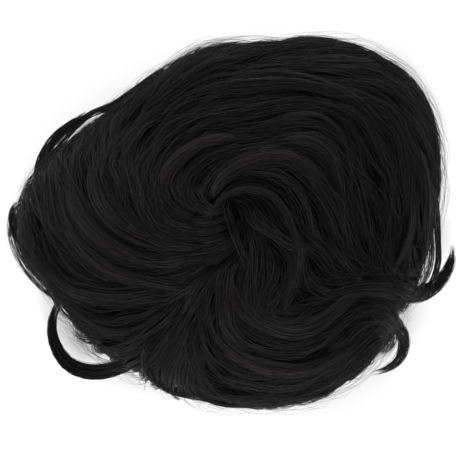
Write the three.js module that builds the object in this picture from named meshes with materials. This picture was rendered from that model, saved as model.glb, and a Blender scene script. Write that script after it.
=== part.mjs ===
// A short curly wig in black hair, resting crown up on its hem.
// Millimetres, +Z up, +X towards the forehead, +Y towards the wearer's left ear.
// A thin cap, open below, carries base locks that swirl from one whorl down to the hem.
// Looser curls lie on top of them, others along the outline, and three stand free of it.
import * as THREE from 'three';

// Cap: a common adult size, about 545 mm round the rim
const CAP_LENGTH = 190;
const CAP_WIDTH = 156;
const CAP_HEIGHT = 103;
const CAP_WALL = 1.5;
const CAP_ROUNDNESS = 0.8;
const CAP_SEGMENTS = 32;
const CAP_ROWS = 8;

// Hair mass: a dome that is widest at its waist and tucks in to the hem
const CROWN_HEIGHT = 118;
const WAIST_HEIGHT = 46;
const HEM_TILT = THREE.MathUtils.degToRad(108);
const ROUNDNESS = 0.9;

// Reach of the base locks from the crown axis, a row every 20 degrees from +X towards +Y
const REACH_STEP = 20;
const REACH = [
  { at: 0, reach: 122 },
  { at: 20, reach: 129 },
  { at: 40, reach: 137 },
  { at: 60, reach: 123 },
  { at: 80, reach: 106 },
  { at: 100, reach: 100 },
  { at: 120, reach: 95 },
  { at: 140, reach: 100 },
  { at: 160, reach: 116 },
  { at: 180, reach: 128 },
  { at: 200, reach: 121 },
  { at: 220, reach: 107 },
  { at: 240, reach: 104 },
  { at: 260, reach: 105 },
  { at: 280, reach: 109 },
  { at: 300, reach: 115 },
  { at: 320, reach: 113 },
  { at: 340, reach: 116 },
];

// Whorl that the base locks leave from, on the map of the dome: 0 at the crown axis, 1 at the hem
const WHORL = new THREE.Vector2(-0.04, -0.117);
const WHORL_RING = 0.05;
const WHORL_DIMPLE = 9;
const DIMPLE_LENGTH = 0.16;

// Base locks: each lies between its own border and the next row's.
// A border leaves the whorl at the root angle and reaches the hem at the hem angle, in degrees.
const BASE_BORDERS = [
  { place: 'front', root: -12, hem: -14 },
  { place: 'front', root: 26, hem: -8 },
  { place: 'front', root: 60, hem: -2 },
  { place: 'front', root: 84, hem: 6 },
  { place: 'front', root: 108, hem: 16 },
  { place: 'front', root: 135, hem: 31 },
  { place: 'left', root: 155, hem: 50 },
  { place: 'left', root: 172, hem: 72 },
  { place: 'left', root: 187, hem: 96 },
  { place: 'left', root: 200, hem: 121 },
  { place: 'nape', root: 212, hem: 146 },
  { place: 'nape', root: 222, hem: 171 },
  { place: 'nape', root: 231, hem: 195 },
  { place: 'nape', root: 238, hem: 216 },
  { place: 'right', root: 245, hem: 236 },
  { place: 'right', root: 252, hem: 256 },
  { place: 'right', root: 260, hem: 276 },
  { place: 'right', root: 269, hem: 293 },
  { place: 'right', root: 280, hem: 308 },
  { place: 'right', root: 300, hem: 320 },
  { place: 'front', root: 324, hem: 333 },
];
const BASE_BULGE = 5;
const BASE_ROWS = 11;
const BASE_COLUMNS = 4;

// Parting on each side of a border, on the map, and its largest share of a narrow lock's width
const PARTING = 0.004;
const PARTING_SHARE = 0.16;

// Clearance under every lock, and the least thickness at the edge of a lock that lies on top
const SEAT_GAP = 0.8;
const LOCK_EDGE = 1.6;

// Locks on top of the base. Each follows an arc on the map of the dome, about the point (u, v),
// which is the crown axis where none is given. From and to are the angles of its ends in degrees,
// start and end its radii there. Width and thick are millimetres, and so are fly and tip:
// how far the lock stands off the hair in the middle of its length, and at its tip.
const TOP_LOCKS = [
  { name: 'crown_curl_1', u: -0.02, v: 0.01, from: 124, to: 3, start: 0.06, end: 0.27, width: 17, thick: 8 },
  { name: 'crown_curl_2', u: -0.1, v: 0.07, from: 167, to: 48, start: 0.08, end: 0.23, width: 13, thick: 6 },
  { name: 'crown_curl_3', u: 0.09, v: 0.07, from: 84, to: 0, start: 0.13, end: 0.2, width: 10, thick: 5 },
  { name: 'sweep_lock', u: -0.21, v: -0.1, from: 92, to: 25, start: 0.55, end: 0.72, width: 15, thick: 6 },
  { name: 'side_curl_1', u: 0.27, v: -0.1, from: -167, to: -38, start: 0.29, end: 0.14, width: 17, thick: 7 },
  { name: 'side_curl_2', u: 0.1, v: -0.15, from: -134, to: -24, start: 0.24, end: 0.44, width: 15, thick: 6 },
  { name: 'fan_lock_1', u: 0.06, v: 0.3, from: -110, to: -173, start: 0.39, end: 0.52, width: 12, thick: 5 },
  { name: 'fan_lock_2', u: 0.02, v: 0.3, from: -105, to: -170, start: 0.44, end: 0.55, width: 12, thick: 5 },
  { name: 'fan_lock_3', u: 0.02, v: 0.15, from: -107, to: -178, start: 0.36, end: 0.54, width: 12, thick: 5 },
  { name: 'edge_lock_1', from: 176, to: 112, start: 0.65, end: 0.97, width: 22, thick: 7 },
  { name: 'edge_lock_2', from: 136, to: 66, start: 0.65, end: 0.97, width: 24, thick: 7 },
  { name: 'edge_lock_3', from: 96, to: 30, start: 0.65, end: 0.97, width: 24, thick: 7 },
  { name: 'edge_lock_4', from: 62, to: 1, start: 0.65, end: 0.97, width: 24, thick: 7 },
  { name: 'edge_lock_5', from: 28, to: -18, start: 0.66, end: 0.95, width: 22, thick: 7 },
  { name: 'edge_lock_6', from: 182, to: 208, start: 0.72, end: 0.9, width: 20, thick: 8 },
  { name: 'edge_lock_7', from: 246, to: 300, start: 0.66, end: 0.96, width: 22, thick: 6 },
  { name: 'edge_lock_8', from: 277, to: 321, start: 0.65, end: 0.93, width: 22, thick: 6 },
  { name: 'loop_curl', from: 246, to: 206, start: 0.92, end: 0.94, width: 14, thick: 12, fly: 22, tip: 5 },
  { name: 'hook_curl', from: -21, to: -8, start: 0.914, end: 0.93, width: 10, thick: 8, fly: 6, tip: 17 },
  { name: 'temple_curl', from: -34.6, to: -49, start: 0.914, end: 0.94, width: 10, thick: 8, fly: 9, tip: 9 },
];
const TOP_ROWS = 9;
const TOP_COLUMNS = 4;

// Taper of a lock on top: shares of its width at the root and the tip, and where it is widest
const ROOT_WIDTH = 0.45;
const TIP_WIDTH = 0.16;
const WIDEST_AT = 0.4;

// Millimetres of hair for one unit of the map near the crown
const MAP_UNIT = 225;

const hair = new THREE.MeshStandardMaterial({ color: 0x1b1a1b, roughness: 0.5, metalness: 0 });
const net = new THREE.MeshStandardMaterial({ color: 0x141415, roughness: 0.9, metalness: 0 });

const lerp = THREE.MathUtils.lerp;
const smoothstep = THREE.MathUtils.smoothstep;
const radians = THREE.MathUtils.degToRad;

/** Reach of the base hair at an azimuth: a closed Catmull-Rom curve through the table's rows. */
function reachAt(azimuth) {
  const turn = THREE.MathUtils.euclideanModulo(THREE.MathUtils.radToDeg(azimuth), 360) / REACH_STEP;
  const row = Math.floor(turn);
  const f = turn - row;
  const [a, b, c, d] = [-1, 0, 1, 2].map((k) => REACH[(row + k + REACH.length) % REACH.length].reach);
  const bend = 2 * a - 5 * b + 4 * c - d;
  const twist = 3 * b - a - 3 * c + d;
  return b + 0.5 * f * (c - a + f * (bend + f * twist));
}

/** Point of the hair's dome at a place on its map, raised by lift along the surface's slope. */
function hairPoint(place, lift) {
  const azimuth = place.angle();
  const tilt = place.length() * HEM_TILT;
  const reach = reachAt(azimuth) * Math.sin(tilt) ** ROUNDNESS + lift * Math.sin(tilt);
  const rise = Math.cos(tilt);
  const aboveWaist = lerp(WAIST_HEIGHT, CROWN_HEIGHT, Math.max(rise, 0) ** ROUNDNESS) + lift * rise;
  const belowWaist = WAIST_HEIGHT * (1 - rise / Math.cos(HEM_TILT));
  const height = rise > 0 ? aboveWaist : belowWaist;
  return new THREE.Vector3(reach * Math.cos(azimuth), reach * Math.sin(azimuth), height);
}

/** Radius and height of the cap's outside, from the apex at 0 to the rim at 1, as shares of the whole. */
function capProfile(share) {
  const tilt = share * Math.PI / 2;
  return { radius: Math.sin(tilt) ** CAP_ROUNDNESS, height: Math.max(Math.cos(tilt), 0) ** ROUNDNESS };
}

/** Point on the cap at a place on the dome's map, raised by gap. */
function capPoint(place, gap) {
  const azimuth = place.angle();
  const { radius, height } = capProfile(Math.min(place.length(), 1));
  const halfLength = CAP_LENGTH / 2 + gap;
  const halfWidth = CAP_WIDTH / 2 + gap;
  const squeeze = Math.hypot(halfWidth * Math.cos(azimuth), halfLength * Math.sin(azimuth));
  const reach = radius * halfLength * halfWidth / squeeze;
  return new THREE.Vector3(reach * Math.cos(azimuth), reach * Math.sin(azimuth), (CAP_HEIGHT + gap) * height);
}

/** Turns every triangle of a closed body to face outwards. */
function faceOutwards(geometry) {
  const { position } = geometry.attributes;
  const at = (k) => new THREE.Vector3().fromBufferAttribute(position, geometry.index.getX(k));
  let volume = 0;
  for (let k = 0; k < geometry.index.count; k += 3) volume += at(k).dot(at(k + 1).cross(at(k + 2)));
  if (volume > 0) return geometry;
  geometry.setIndex([...geometry.index.array].reverse());
  return geometry;
}

/** Closed body between two surfaces of (t, w): t runs 0 to 1 along a lock, w runs -1 to 1 across it. */
function lockBody(outer, inner, rows, columns) {
  const corners = [];
  const triangles = [];
  const stride = columns + 1;
  const layer = (rows + 1) * stride;
  const quad = (a, b, c, d) => triangles.push(a, b, c, a, c, d);
  for (const surface of [outer, inner]) {
    for (let k = 0; k < layer; k += 1) {
      const t = Math.floor(k / stride) / rows;
      const w = 2 * (k % stride) / columns - 1;
      corners.push(...surface(t, w).toArray());
    }
  }
  for (let row = 0; row < rows; row += 1) {
    const near = row * stride;
    const far = near + stride;
    for (let column = 0; column < columns; column += 1) {
      quad(near + column, near + column + 1, far + column + 1, far + column);
      quad(layer + near + column, layer + far + column, layer + far + column + 1, layer + near + column + 1);
    }
    quad(near, far, layer + far, layer + near);
    quad(near + columns, layer + near + columns, layer + far + columns, far + columns);
  }
  const last = rows * stride;
  for (let column = 0; column < columns; column += 1) {
    quad(column, layer + column, layer + column + 1, column + 1);
    quad(last + column, last + column + 1, layer + last + column + 1, layer + last + column);
  }
  const geometry = new THREE.BufferGeometry();
  geometry.setAttribute('position', new THREE.Float32BufferAttribute(corners, 3));
  geometry.setIndex(triangles);
  faceOutwards(geometry);
  geometry.computeVertexNormals();
  return geometry;
}

/** Round section of a lock, 1 along its middle and 0 at its sides. */
function arch(w) {
  return 1 - w * w;
}

/** Cap: a thin dome turned on the crown axis, drawn in across the head. */
function capGeometry() {
  const inset = CAP_WALL / (CAP_LENGTH / 2);
  const sink = CAP_WALL / CAP_HEIGHT;
  const inside = [];
  const outside = [];
  for (let row = 0; row <= CAP_ROWS; row += 1) {
    const { radius, height } = capProfile(row / CAP_ROWS);
    inside.push(new THREE.Vector2(radius * (1 - inset), height * (1 - sink)));
    outside.unshift(new THREE.Vector2(radius, height));
  }
  const geometry = new THREE.LatheGeometry([...inside, ...outside], CAP_SEGMENTS);
  geometry.rotateX(Math.PI / 2);
  geometry.scale(CAP_LENGTH / 2, CAP_WIDTH / 2, CAP_HEIGHT);
  return geometry;
}

/** Base lock between two borders, from the whorl's ring down to the hem. */
function baseLock(border, next) {
  const place = (t, w) => {
    const ring = lerp(WHORL_RING, 1, t);
    const right = lerp(radians(border.root), radians(border.hem), t);
    const left = lerp(radians(next.root), radians(next.hem), t);
    const inset = Math.min(PARTING / ring, PARTING_SHARE * (left - right));
    const angle = lerp(right + inset, left - inset, (w + 1) / 2);
    const centre = WHORL.clone().multiplyScalar(1 - smoothstep(t, 0, 1));
    return centre.add(new THREE.Vector2(ring * Math.cos(angle), ring * Math.sin(angle)));
  };
  const lift = (t, w) => lerp(-WHORL_DIMPLE, BASE_BULGE * arch(w), smoothstep(t, 0, DIMPLE_LENGTH));
  const outer = (t, w) => hairPoint(place(t, w), lift(t, w));
  const inner = (t, w) => capPoint(place(t, w), SEAT_GAP);
  return lockBody(outer, inner, BASE_ROWS, BASE_COLUMNS);
}

/** Tuft that fills the whorl's ring, a round patch of the dome. */
function whorlTuft() {
  const radius = WHORL_RING - PARTING;
  const place = (t, w) => {
    const s = 2 * t - 1;
    const u = s * Math.sqrt(1 - w * w / 2);
    const v = w * Math.sqrt(1 - s * s / 2);
    return new THREE.Vector2(u, v).multiplyScalar(radius).add(WHORL);
  };
  const outer = (t, w) => hairPoint(place(t, w), -WHORL_DIMPLE);
  const inner = (t, w) => capPoint(place(t, w), SEAT_GAP);
  return lockBody(outer, inner, BASE_COLUMNS, BASE_COLUMNS);
}

/** Lock that lies on the base locks along its arc, and stands off them where it flies. */
function topLock({ u = 0, v = 0, from, to, start, end, width, thick, fly = 0, tip = 0 }) {
  const centre = new THREE.Vector2(u, v);
  const spread = (t) => (t < WIDEST_AT
    ? lerp(ROOT_WIDTH, 1, smoothstep(t, 0, WIDEST_AT))
    : lerp(1, TIP_WIDTH, smoothstep(t, WIDEST_AT, 1)));
  const place = (t, w) => {
    const angle = radians(lerp(from, to, t));
    const across = width / 2 / MAP_UNIT * spread(t) * w;
    const radius = lerp(start, end, t) + across;
    return new THREE.Vector2(Math.cos(angle), Math.sin(angle)).multiplyScalar(radius).add(centre);
  };
  const seat = (t) => BASE_BULGE + SEAT_GAP + fly * Math.sin(Math.PI * t) ** 2 + tip * smoothstep(t, 0, 1);
  const body = (t, w) => LOCK_EDGE + (thick - LOCK_EDGE) * arch(w) * spread(t);
  const outer = (t, w) => hairPoint(place(t, w), seat(t) + body(t, w));
  const inner = (t, w) => hairPoint(place(t, w), seat(t));
  return lockBody(outer, inner, TOP_ROWS, TOP_COLUMNS);
}

const wig = new THREE.Group();

/** Adds one named piece to the wig. */
function addPiece(name, geometry, material) {
  const mesh = new THREE.Mesh(geometry, material);
  mesh.name = name;
  wig.add(mesh);
}

addPiece('cap', capGeometry(), net);
addPiece('whorl_tuft', whorlTuft(), hair);

const placeCounts = {};
BASE_BORDERS.forEach((border, index) => {
  const first = BASE_BORDERS[0];
  const closing = { root: first.root + 360, hem: first.hem + 360 };
  const next = BASE_BORDERS[index + 1] ?? closing;
  placeCounts[border.place] = (placeCounts[border.place] ?? 0) + 1;
  addPiece(`${border.place}_lock_${placeCounts[border.place]}`, baseLock(border, next), hair);
});

for (const lock of TOP_LOCKS) addPiece(lock.name, topLock(lock), hair);

// The origin is the middle of the wig's box, on the surface that it rests on
const box = new THREE.Box3().setFromObject(wig, true);
const middle = box.getCenter(new THREE.Vector3());
wig.position.set(-middle.x, -middle.y, -box.min.z);

export default wig;
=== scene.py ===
"""Short curly wig in black hair, lying crown up: strands, under-hair and cap, with floor, light and camera."""
import logging
import math
from dataclasses import dataclass, field, replace
from enum import Enum

import bpy
import numpy as np
import numpy.typing as npt
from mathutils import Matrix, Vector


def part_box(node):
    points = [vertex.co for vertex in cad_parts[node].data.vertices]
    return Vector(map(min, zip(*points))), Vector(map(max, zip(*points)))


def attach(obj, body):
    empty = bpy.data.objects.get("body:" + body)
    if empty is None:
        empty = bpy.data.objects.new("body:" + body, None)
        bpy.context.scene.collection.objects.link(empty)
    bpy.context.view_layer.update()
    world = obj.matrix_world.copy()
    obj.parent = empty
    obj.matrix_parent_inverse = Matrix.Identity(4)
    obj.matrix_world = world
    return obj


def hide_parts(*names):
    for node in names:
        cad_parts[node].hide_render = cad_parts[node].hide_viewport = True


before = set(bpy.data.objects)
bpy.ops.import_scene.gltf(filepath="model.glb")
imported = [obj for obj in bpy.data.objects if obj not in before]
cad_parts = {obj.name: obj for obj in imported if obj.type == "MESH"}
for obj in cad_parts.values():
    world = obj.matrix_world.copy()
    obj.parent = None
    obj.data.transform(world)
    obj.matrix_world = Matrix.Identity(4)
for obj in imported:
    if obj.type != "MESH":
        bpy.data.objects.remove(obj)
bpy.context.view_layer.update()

Array = npt.NDArray[np.float64]
Indices = npt.NDArray[np.int64]
Colour = bpy.types.NodeSocket | tuple[float, ...]
log = logging.getLogger("wig")

MM = 0.001
BAKE_MAP = "OFBake"
TONES = 64

# Height of the point inside the wig that all the hair faces away from
HEART_HEIGHT = 20 * MM
# Tones of clumps, and how far their strands stray from them
CLUMP_TONE = (0.1, 0.9)
STRAND_TONE = 0.2
# Bake strip of the under-hair: its tone and its width
UNDER_TONE = 0.5
UNDER_STRIP = 0.01
# Shares down and across a base lock where its under-form has corners, closer near its edges
UNDER_ROWS = np.concatenate([[0, 0.004], np.linspace(0.03, 0.9, 27), [0.93, 0.96, 0.985, 0.99]])
UNDER_COLUMNS = np.array([-1, -0.985, -0.7, -0.35, 0, 0.35, 0.7, 0.985, 1])
# Shares along and across a lock where it leads the flow, and the step that gives its heading there
GUIDE_SHARES = np.linspace(0.02, 0.98, 14)
GUIDE_COLUMNS = np.array([-0.5, 0.5])
GUIDE_STEP = 0.01
# Sockets of a node that mixes colours
MIX_SHARE, MIX_FIRST, MIX_SECOND, MIX_RESULT = 0, 6, 7, 2


def smoothstep(x: Array, low: float = 0.0, high: float = 1.0) -> Array:
    """Eases from 0 at low to 1 at high.

    Args:
        x: Values to ease.
        low: Value where the step starts.
        high: Value where the step ends.

    Returns:
        Eased values between 0 and 1.
    """
    f = np.clip((np.asarray(x, float) - low) / (high - low), 0.0, 1.0)
    return f * f * (3.0 - 2.0 * f)


def mix(a: Array, b: Array, f: Array) -> Array:
    """Value between a and b at the share f."""
    return a + (b - a) * f


def unit(v: Array) -> Array:
    """Vectors of length 1 along the last axis."""
    return v / np.maximum(np.linalg.norm(v, axis=-1, keepdims=True), 1e-12)


def spline(a: Array, b: Array, c: Array, d: Array, f: Array) -> Array:
    """Catmull-Rom curve between b and c, led by a and d."""
    return b + 0.5 * f * (c - a + f * (2 * a - 5 * b + 4 * c - d + f * (3 * b - a - 3 * c + d)))


def through(knots: Array, samples: int) -> Array:
    """Smooth line through knots.

    Args:
        knots: Knots, one a row.
        samples: Number of points.

    Returns:
        Points spread evenly over the knots.
    """
    ends = np.concatenate([2 * knots[:1] - knots[1:2], knots, 2 * knots[-1:] - knots[-2:-1]])
    at = np.linspace(0, len(knots) - 1, samples)
    row = np.minimum(at.astype(int), len(knots) - 2)
    a, b, c, d = (ends[row + k] for k in range(4))
    return spline(a, b, c, d, (at - row)[:, None])


def steps(s: Array, count: int) -> tuple[Indices, Array]:
    """Steps of an evenly sampled line that shares of its length fall in.

    Args:
        s: Shares of the line's length.
        count: Number of samples of the line.

    Returns:
        The sample before each share, and the share of the step after it.
    """
    at = s * (count - 1)
    low = np.minimum(at.astype(int), count - 2)
    return low, at - low


def swell_and_taper(s: Array, root: float, tip: float, widest: float) -> Array:
    """Width along hair that swells from its root and tapers to its tip.

    Args:
        s: Shares of its length.
        root: Share of the full width at the root.
        tip: Share of the full width at the tip.
        widest: Share of the length where it is widest.

    Returns:
        Shares of the full width.
    """
    swell = mix(root, 1.0, smoothstep(s, 0, widest))
    taper = mix(1.0, tip, smoothstep(s, widest, 1))
    return np.where(s < widest, swell, taper)


def side_by_side(rng: np.random.Generator, count: int) -> Array:
    """Places from -1 to 1 across a lock, one a row, spread evenly with some chance."""
    return (np.arange(count)[:, None] + rng.uniform(0, 1, (count, 1))) / count * 2 - 1


def aside(heading: Array) -> Array:
    """Directions on the map a quarter turn to the left of headings."""
    return np.stack([-heading[..., 1], heading[..., 0]], -1)


def lengths_of(paths: Array) -> Array:
    """Length of each path, path by point by three."""
    return np.linalg.norm(np.diff(paths, axis=1), axis=-1).sum(1)


class Place(Enum):
    """Part of the head that a base lock covers."""

    FRONT = "front"
    LEFT = "left"
    NAPE = "nape"
    RIGHT = "right"


class Datum(Enum):
    """What the height of a loose lock is measured from."""

    DOME = "dome"
    FLOOR = "floor"


@dataclass(frozen=True)
class Border:
    """Border between two base locks: its angles at the whorl and at the hem, in degrees."""

    place: Place
    root: float
    hem: float


BORDERS: tuple[Border, ...] = (
    Border(Place.FRONT, -12, -14),
    Border(Place.FRONT, 26, -8),
    Border(Place.FRONT, 60, -2),
    Border(Place.FRONT, 84, 6),
    Border(Place.FRONT, 108, 16),
    Border(Place.FRONT, 135, 31),
    Border(Place.LEFT, 155, 50),
    Border(Place.LEFT, 172, 72),
    Border(Place.LEFT, 187, 96),
    Border(Place.LEFT, 200, 121),
    Border(Place.NAPE, 212, 146),
    Border(Place.NAPE, 222, 171),
    Border(Place.NAPE, 231, 195),
    Border(Place.NAPE, 238, 216),
    Border(Place.RIGHT, 245, 236),
    Border(Place.RIGHT, 252, 256),
    Border(Place.RIGHT, 260, 276),
    Border(Place.RIGHT, 269, 293),
    Border(Place.RIGHT, 280, 308),
    Border(Place.RIGHT, 300, 320),
    Border(Place.FRONT, 324, 333),
)


@dataclass(frozen=True)
class Hollow:
    """Soft hollow in the hair: its place and width on the map, and its depth in metres."""

    place: tuple[float, float]
    width: float
    depth: float


@dataclass(frozen=True)
class Dome:
    """Outer form of the hair: a dome over a flat map, 0 at the crown axis and 1 at the hem."""

    axis: tuple[float, float]
    crown: float = 118 * MM
    waist: float = 46 * MM
    hem_tilt: float = math.radians(108)
    roundness: float = 0.9
    map_unit: float = 225 * MM
    # Millimetres, every 20 degrees round from the front
    reach: tuple[float, ...] = (
        122, 129, 137, 123, 106, 100, 95, 100, 116, 128, 121, 107, 104, 105, 109, 115, 113, 116,
    )
    rim: tuple[float, ...] = (5, 10.5, 7, 8, 7, 8, 5, 1.5, 1.5, 5.5, -1.5, 9, 7, 7, 7, 8.5, 10.5, 6)
    eye: Hollow = Hollow((0.05, -0.02), 0.075, 8 * MM)
    hollows: tuple[Hollow, ...] = (
        Hollow((0.068, 0.08), 0.04, 6 * MM),
        Hollow((0.025, -0.005), 0.035, 4 * MM),
        Hollow((0.41, -0.04), 0.16, 7 * MM),
        Hollow((0.232, -0.235), 0.05, 5 * MM),
    )
    swell_band: tuple[float, float] = (0.42, 0.8)
    deepest: float = 9.5 * MM
    floor_gap: float = 0.3 * MM

    @staticmethod
    def around(rows: tuple[float, ...], azimuth: Array) -> Array:
        """Closed smooth curve through rows that are spread evenly round the crown axis.

        Args:
            rows: Sizes in millimetres, from the front.
            azimuth: Angles about the crown axis, in radians.

        Returns:
            Sizes in metres.
        """
        size = np.array(rows) * MM
        turn = (azimuth / (2 * math.pi)) % 1.0 * len(rows)
        row = np.floor(turn).astype(int)
        a, b, c, d = (size[(row + k) % len(rows)] for k in (-1, 0, 1, 2))
        return spline(a, b, c, d, turn - row)

    def points(self, place: Array, lift: Array) -> Array:
        """Points over places on the map.

        Args:
            place: Map places, with two numbers along the last axis.
            lift: Height above the dome along its slope, in metres.

        Returns:
            Points in the wig's frame, never below the surface that it lies on.
        """
        u, v = place[..., 0], place[..., 1]
        azimuth = np.arctan2(v, u)
        tilt = np.hypot(u, v) * self.hem_tilt
        lean, rise = np.sin(tilt), np.cos(tilt)
        reach = self.around(self.reach, azimuth) * np.maximum(lean, 0) ** self.roundness + lift * lean
        above = mix(self.waist, self.crown, np.maximum(rise, 0) ** self.roundness) + lift * rise
        below = self.waist * (1 - rise / math.cos(self.hem_tilt))
        height = np.maximum(np.where(rise > 0, above, below), self.floor_gap)
        x = self.axis[0] + reach * np.cos(azimuth)
        y = self.axis[1] + reach * np.sin(azimuth)
        return np.stack([x, y, height], axis=-1)

    def dent(self, place: Array) -> Array:
        """Depth of the dark eye beside the whorl and of the other hollows, in metres.

        Args:
            place: Map places, with two numbers along the last axis.

        Returns:
            Depths in metres.
        """
        depth = np.zeros(place.shape[:-1])
        for hollow in (self.eye, *self.hollows):
            away = np.linalg.norm(place - np.array(hollow.place), axis=-1)
            depth += hollow.depth * np.exp(-((away / hollow.width) ** 2))
        return depth

    def swell(self, place: Array) -> Array:
        """How far loose hair stands off towards the rim, in metres."""
        rim = self.around(self.rim, np.arctan2(place[..., 1], place[..., 0]))
        return rim * smoothstep(np.linalg.norm(place, axis=-1), *self.swell_band)

    def hair(self, place: Array, lift: Array) -> Array:
        """Points of strands over places on the map, dented at the eye and swollen at the rim.

        Args:
            place: Map places, with two numbers along the last axis.
            lift: Height above the dome along its slope, in metres.

        Returns:
            Points in the wig's frame.
        """
        return self.points(place, np.maximum(lift + self.swell(place) - self.dent(place), -self.deepest))


@dataclass(frozen=True)
class CapForm:
    """Head-shaped cap under the hair, a thin wall that is open below."""

    axis: tuple[float, float]
    length: float = 190 * MM
    width: float = 156 * MM
    height: float = 103 * MM
    wall: float = 1.5 * MM
    roundness: float = 0.8
    flatness: float = 0.9

    def points(self, place: Array, gap: float) -> Array:
        """Points over the cap at places on the dome's map.

        Args:
            place: Map places, with two numbers along the last axis.
            gap: Distance outside the cap, in metres, or inside where negative.

        Returns:
            Points in the wig's frame.
        """
        azimuth = np.arctan2(place[..., 1], place[..., 0])
        tilt = np.minimum(np.linalg.norm(place, axis=-1), 1.0) * math.pi / 2
        half_length, half_width = self.length / 2 + gap, self.width / 2 + gap
        squeeze = np.hypot(half_width * np.cos(azimuth), half_length * np.sin(azimuth))
        reach = np.sin(tilt) ** self.roundness * half_length * half_width / squeeze
        height = (self.height + gap) * np.maximum(np.cos(tilt), 0) ** self.flatness
        x = self.axis[0] + reach * np.cos(azimuth)
        y = self.axis[1] + reach * np.sin(azimuth)
        return np.stack([x, y, height], axis=-1)


@dataclass(frozen=True)
class Whorl:
    """Point on the map that the base locks leave from, with its ring and its dimple."""

    centre: tuple[float, float] = (-0.04, -0.117)
    ring: float = 0.05
    dimple: float = 4 * MM
    dimple_length: float = 0.16


@dataclass(frozen=True)
class PhotoFrame:
    """Frame of the photograph, which looks straight down: pixels a side and the pixel over the crown axis."""

    side: int = 470
    crown_pixel: tuple[float, float] = (229.5, 222.5)
    pixel: float = 0.64 * MM
    eye_height: float = 2.5
    focus_height: float = 46 * MM
    rings: int = 160

    def flat(self, pixels: Array) -> Array:
        """Places of pixels from the crown axis, at the height that is in scale."""
        return (pixels - np.array(self.crown_pixel)) * np.array([self.pixel, -self.pixel])

    def scale(self, height: Array) -> Array:
        """How much larger a thing at a height looks than at the height that is in scale."""
        return (self.eye_height - self.focus_height) / (self.eye_height - height)

    def places(self, dome: Dome, pixels: Array, lift: float) -> Array:
        """Map places of pixels that lie on the hair.

        Args:
            dome: Outer form of the hair.
            pixels: Pixels, one a row.
            lift: Height of the hair above the dome, in metres.

        Returns:
            Map places, one a row.
        """
        flat = self.flat(pixels)
        heading = unit(flat)
        rings = np.linspace(0, 0.5 * math.pi / dome.hem_tilt, self.rings)
        points = dome.hair(heading[:, None] * rings[:, None], np.array(lift))
        reach = np.linalg.norm(points[..., :2] - np.array(dome.axis), axis=-1) * self.scale(points[..., 2])
        far = np.linalg.norm(flat, axis=-1)
        ring = np.array([np.interp(f, row, rings) for f, row in zip(far, reach)])
        return heading * ring[:, None]

    def points(self, dome: Dome, pixels: Array, height: Array) -> Array:
        """Points under pixels at given heights above the floor.

        Args:
            dome: Outer form of the hair.
            pixels: Pixels, one a row.
            height: Heights in metres, one a row.

        Returns:
            Points in the wig's frame.
        """
        flat = self.flat(pixels) / self.scale(height)[:, None]
        return np.concatenate([flat + np.array(dome.axis), height[:, None]], axis=1)


@dataclass(frozen=True)
class Flow:
    """Lie of the hair over the map, led by places along guide curves."""

    places: Array
    headings: Array
    pull: Array
    softness: float = 0.035

    def heading(self, place: Array) -> Array:
        """Direction of the hair.

        Args:
            place: Map places, one a row.

        Returns:
            Unit directions on the map, one a row.
        """
        away = ((place[:, None, :] - self.places[None]) ** 2).sum(-1)
        share = self.pull / (away + self.softness**2) ** 2
        return unit((share[..., None] * self.headings[None]).sum(1))

    def follow(self, start: Array, step: Array, count: int, stray: Array) -> Array:
        """Paths along the flow.

        Args:
            start: Map places where the paths start, one a row.
            step: Step of each path on the map.
            count: Number of steps.
            stray: Angle of each path to the flow, in radians.

        Returns:
            Places along each path, path by step by two.
        """
        ahead = step[:, None] * np.cos(stray)[:, None]
        sideways = step[:, None] * np.sin(stray)[:, None]
        path = [start]
        for _ in range(count):
            here = path[-1]
            half = self.heading(here + 0.5 * step[:, None] * self.heading(here))
            path.append(here + ahead * half + sideways * aside(half))
        return np.stack(path, axis=1)


@dataclass
class Cover:
    """How much hair lies over each cell of a grid on the map, so that no spot is left bare."""

    cells: int = 100
    enough: float = 8.0
    ends: int = 4
    hair: Array = field(init=False)

    def __post_init__(self) -> None:
        """Starts with no hair, and a margin of one cell."""
        self.hair = np.zeros((self.cells + 2, self.cells + 2))

    def cell(self, places: Array) -> tuple[Indices, Indices]:
        """Rows and columns of the cells at places on the map."""
        at = np.clip(((places + 1) / 2 * self.cells).astype(int) + 1, 1, self.cells)
        return at[..., 0], at[..., 1]

    def choose(self, paths: Array, count: int) -> Indices:
        """Chooses paths one by one, each the barest of a few, and adds their hair.

        Args:
            paths: Places along each path, path by step by two.
            count: Number of paths to choose.

        Returns:
            Numbers of the chosen paths.
        """
        chosen = []
        for first in range(count):
            few = np.arange(first, len(paths), count)
            bare = np.exp(-self.hair[self.cell(paths[few, self.ends:-self.ends])] / self.enough).mean(axis=1)
            best = int(few[bare.argmax()])
            rows, columns = self.cell(paths[best, self.ends:-self.ends])
            for down, along in np.ndindex(3, 3):
                share = 1.0 / (1 + abs(down - 1) + abs(along - 1))
                np.add.at(self.hair, (rows + down - 1, columns + along - 1), share)
            chosen.append(best)
        return np.array(chosen)


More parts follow.
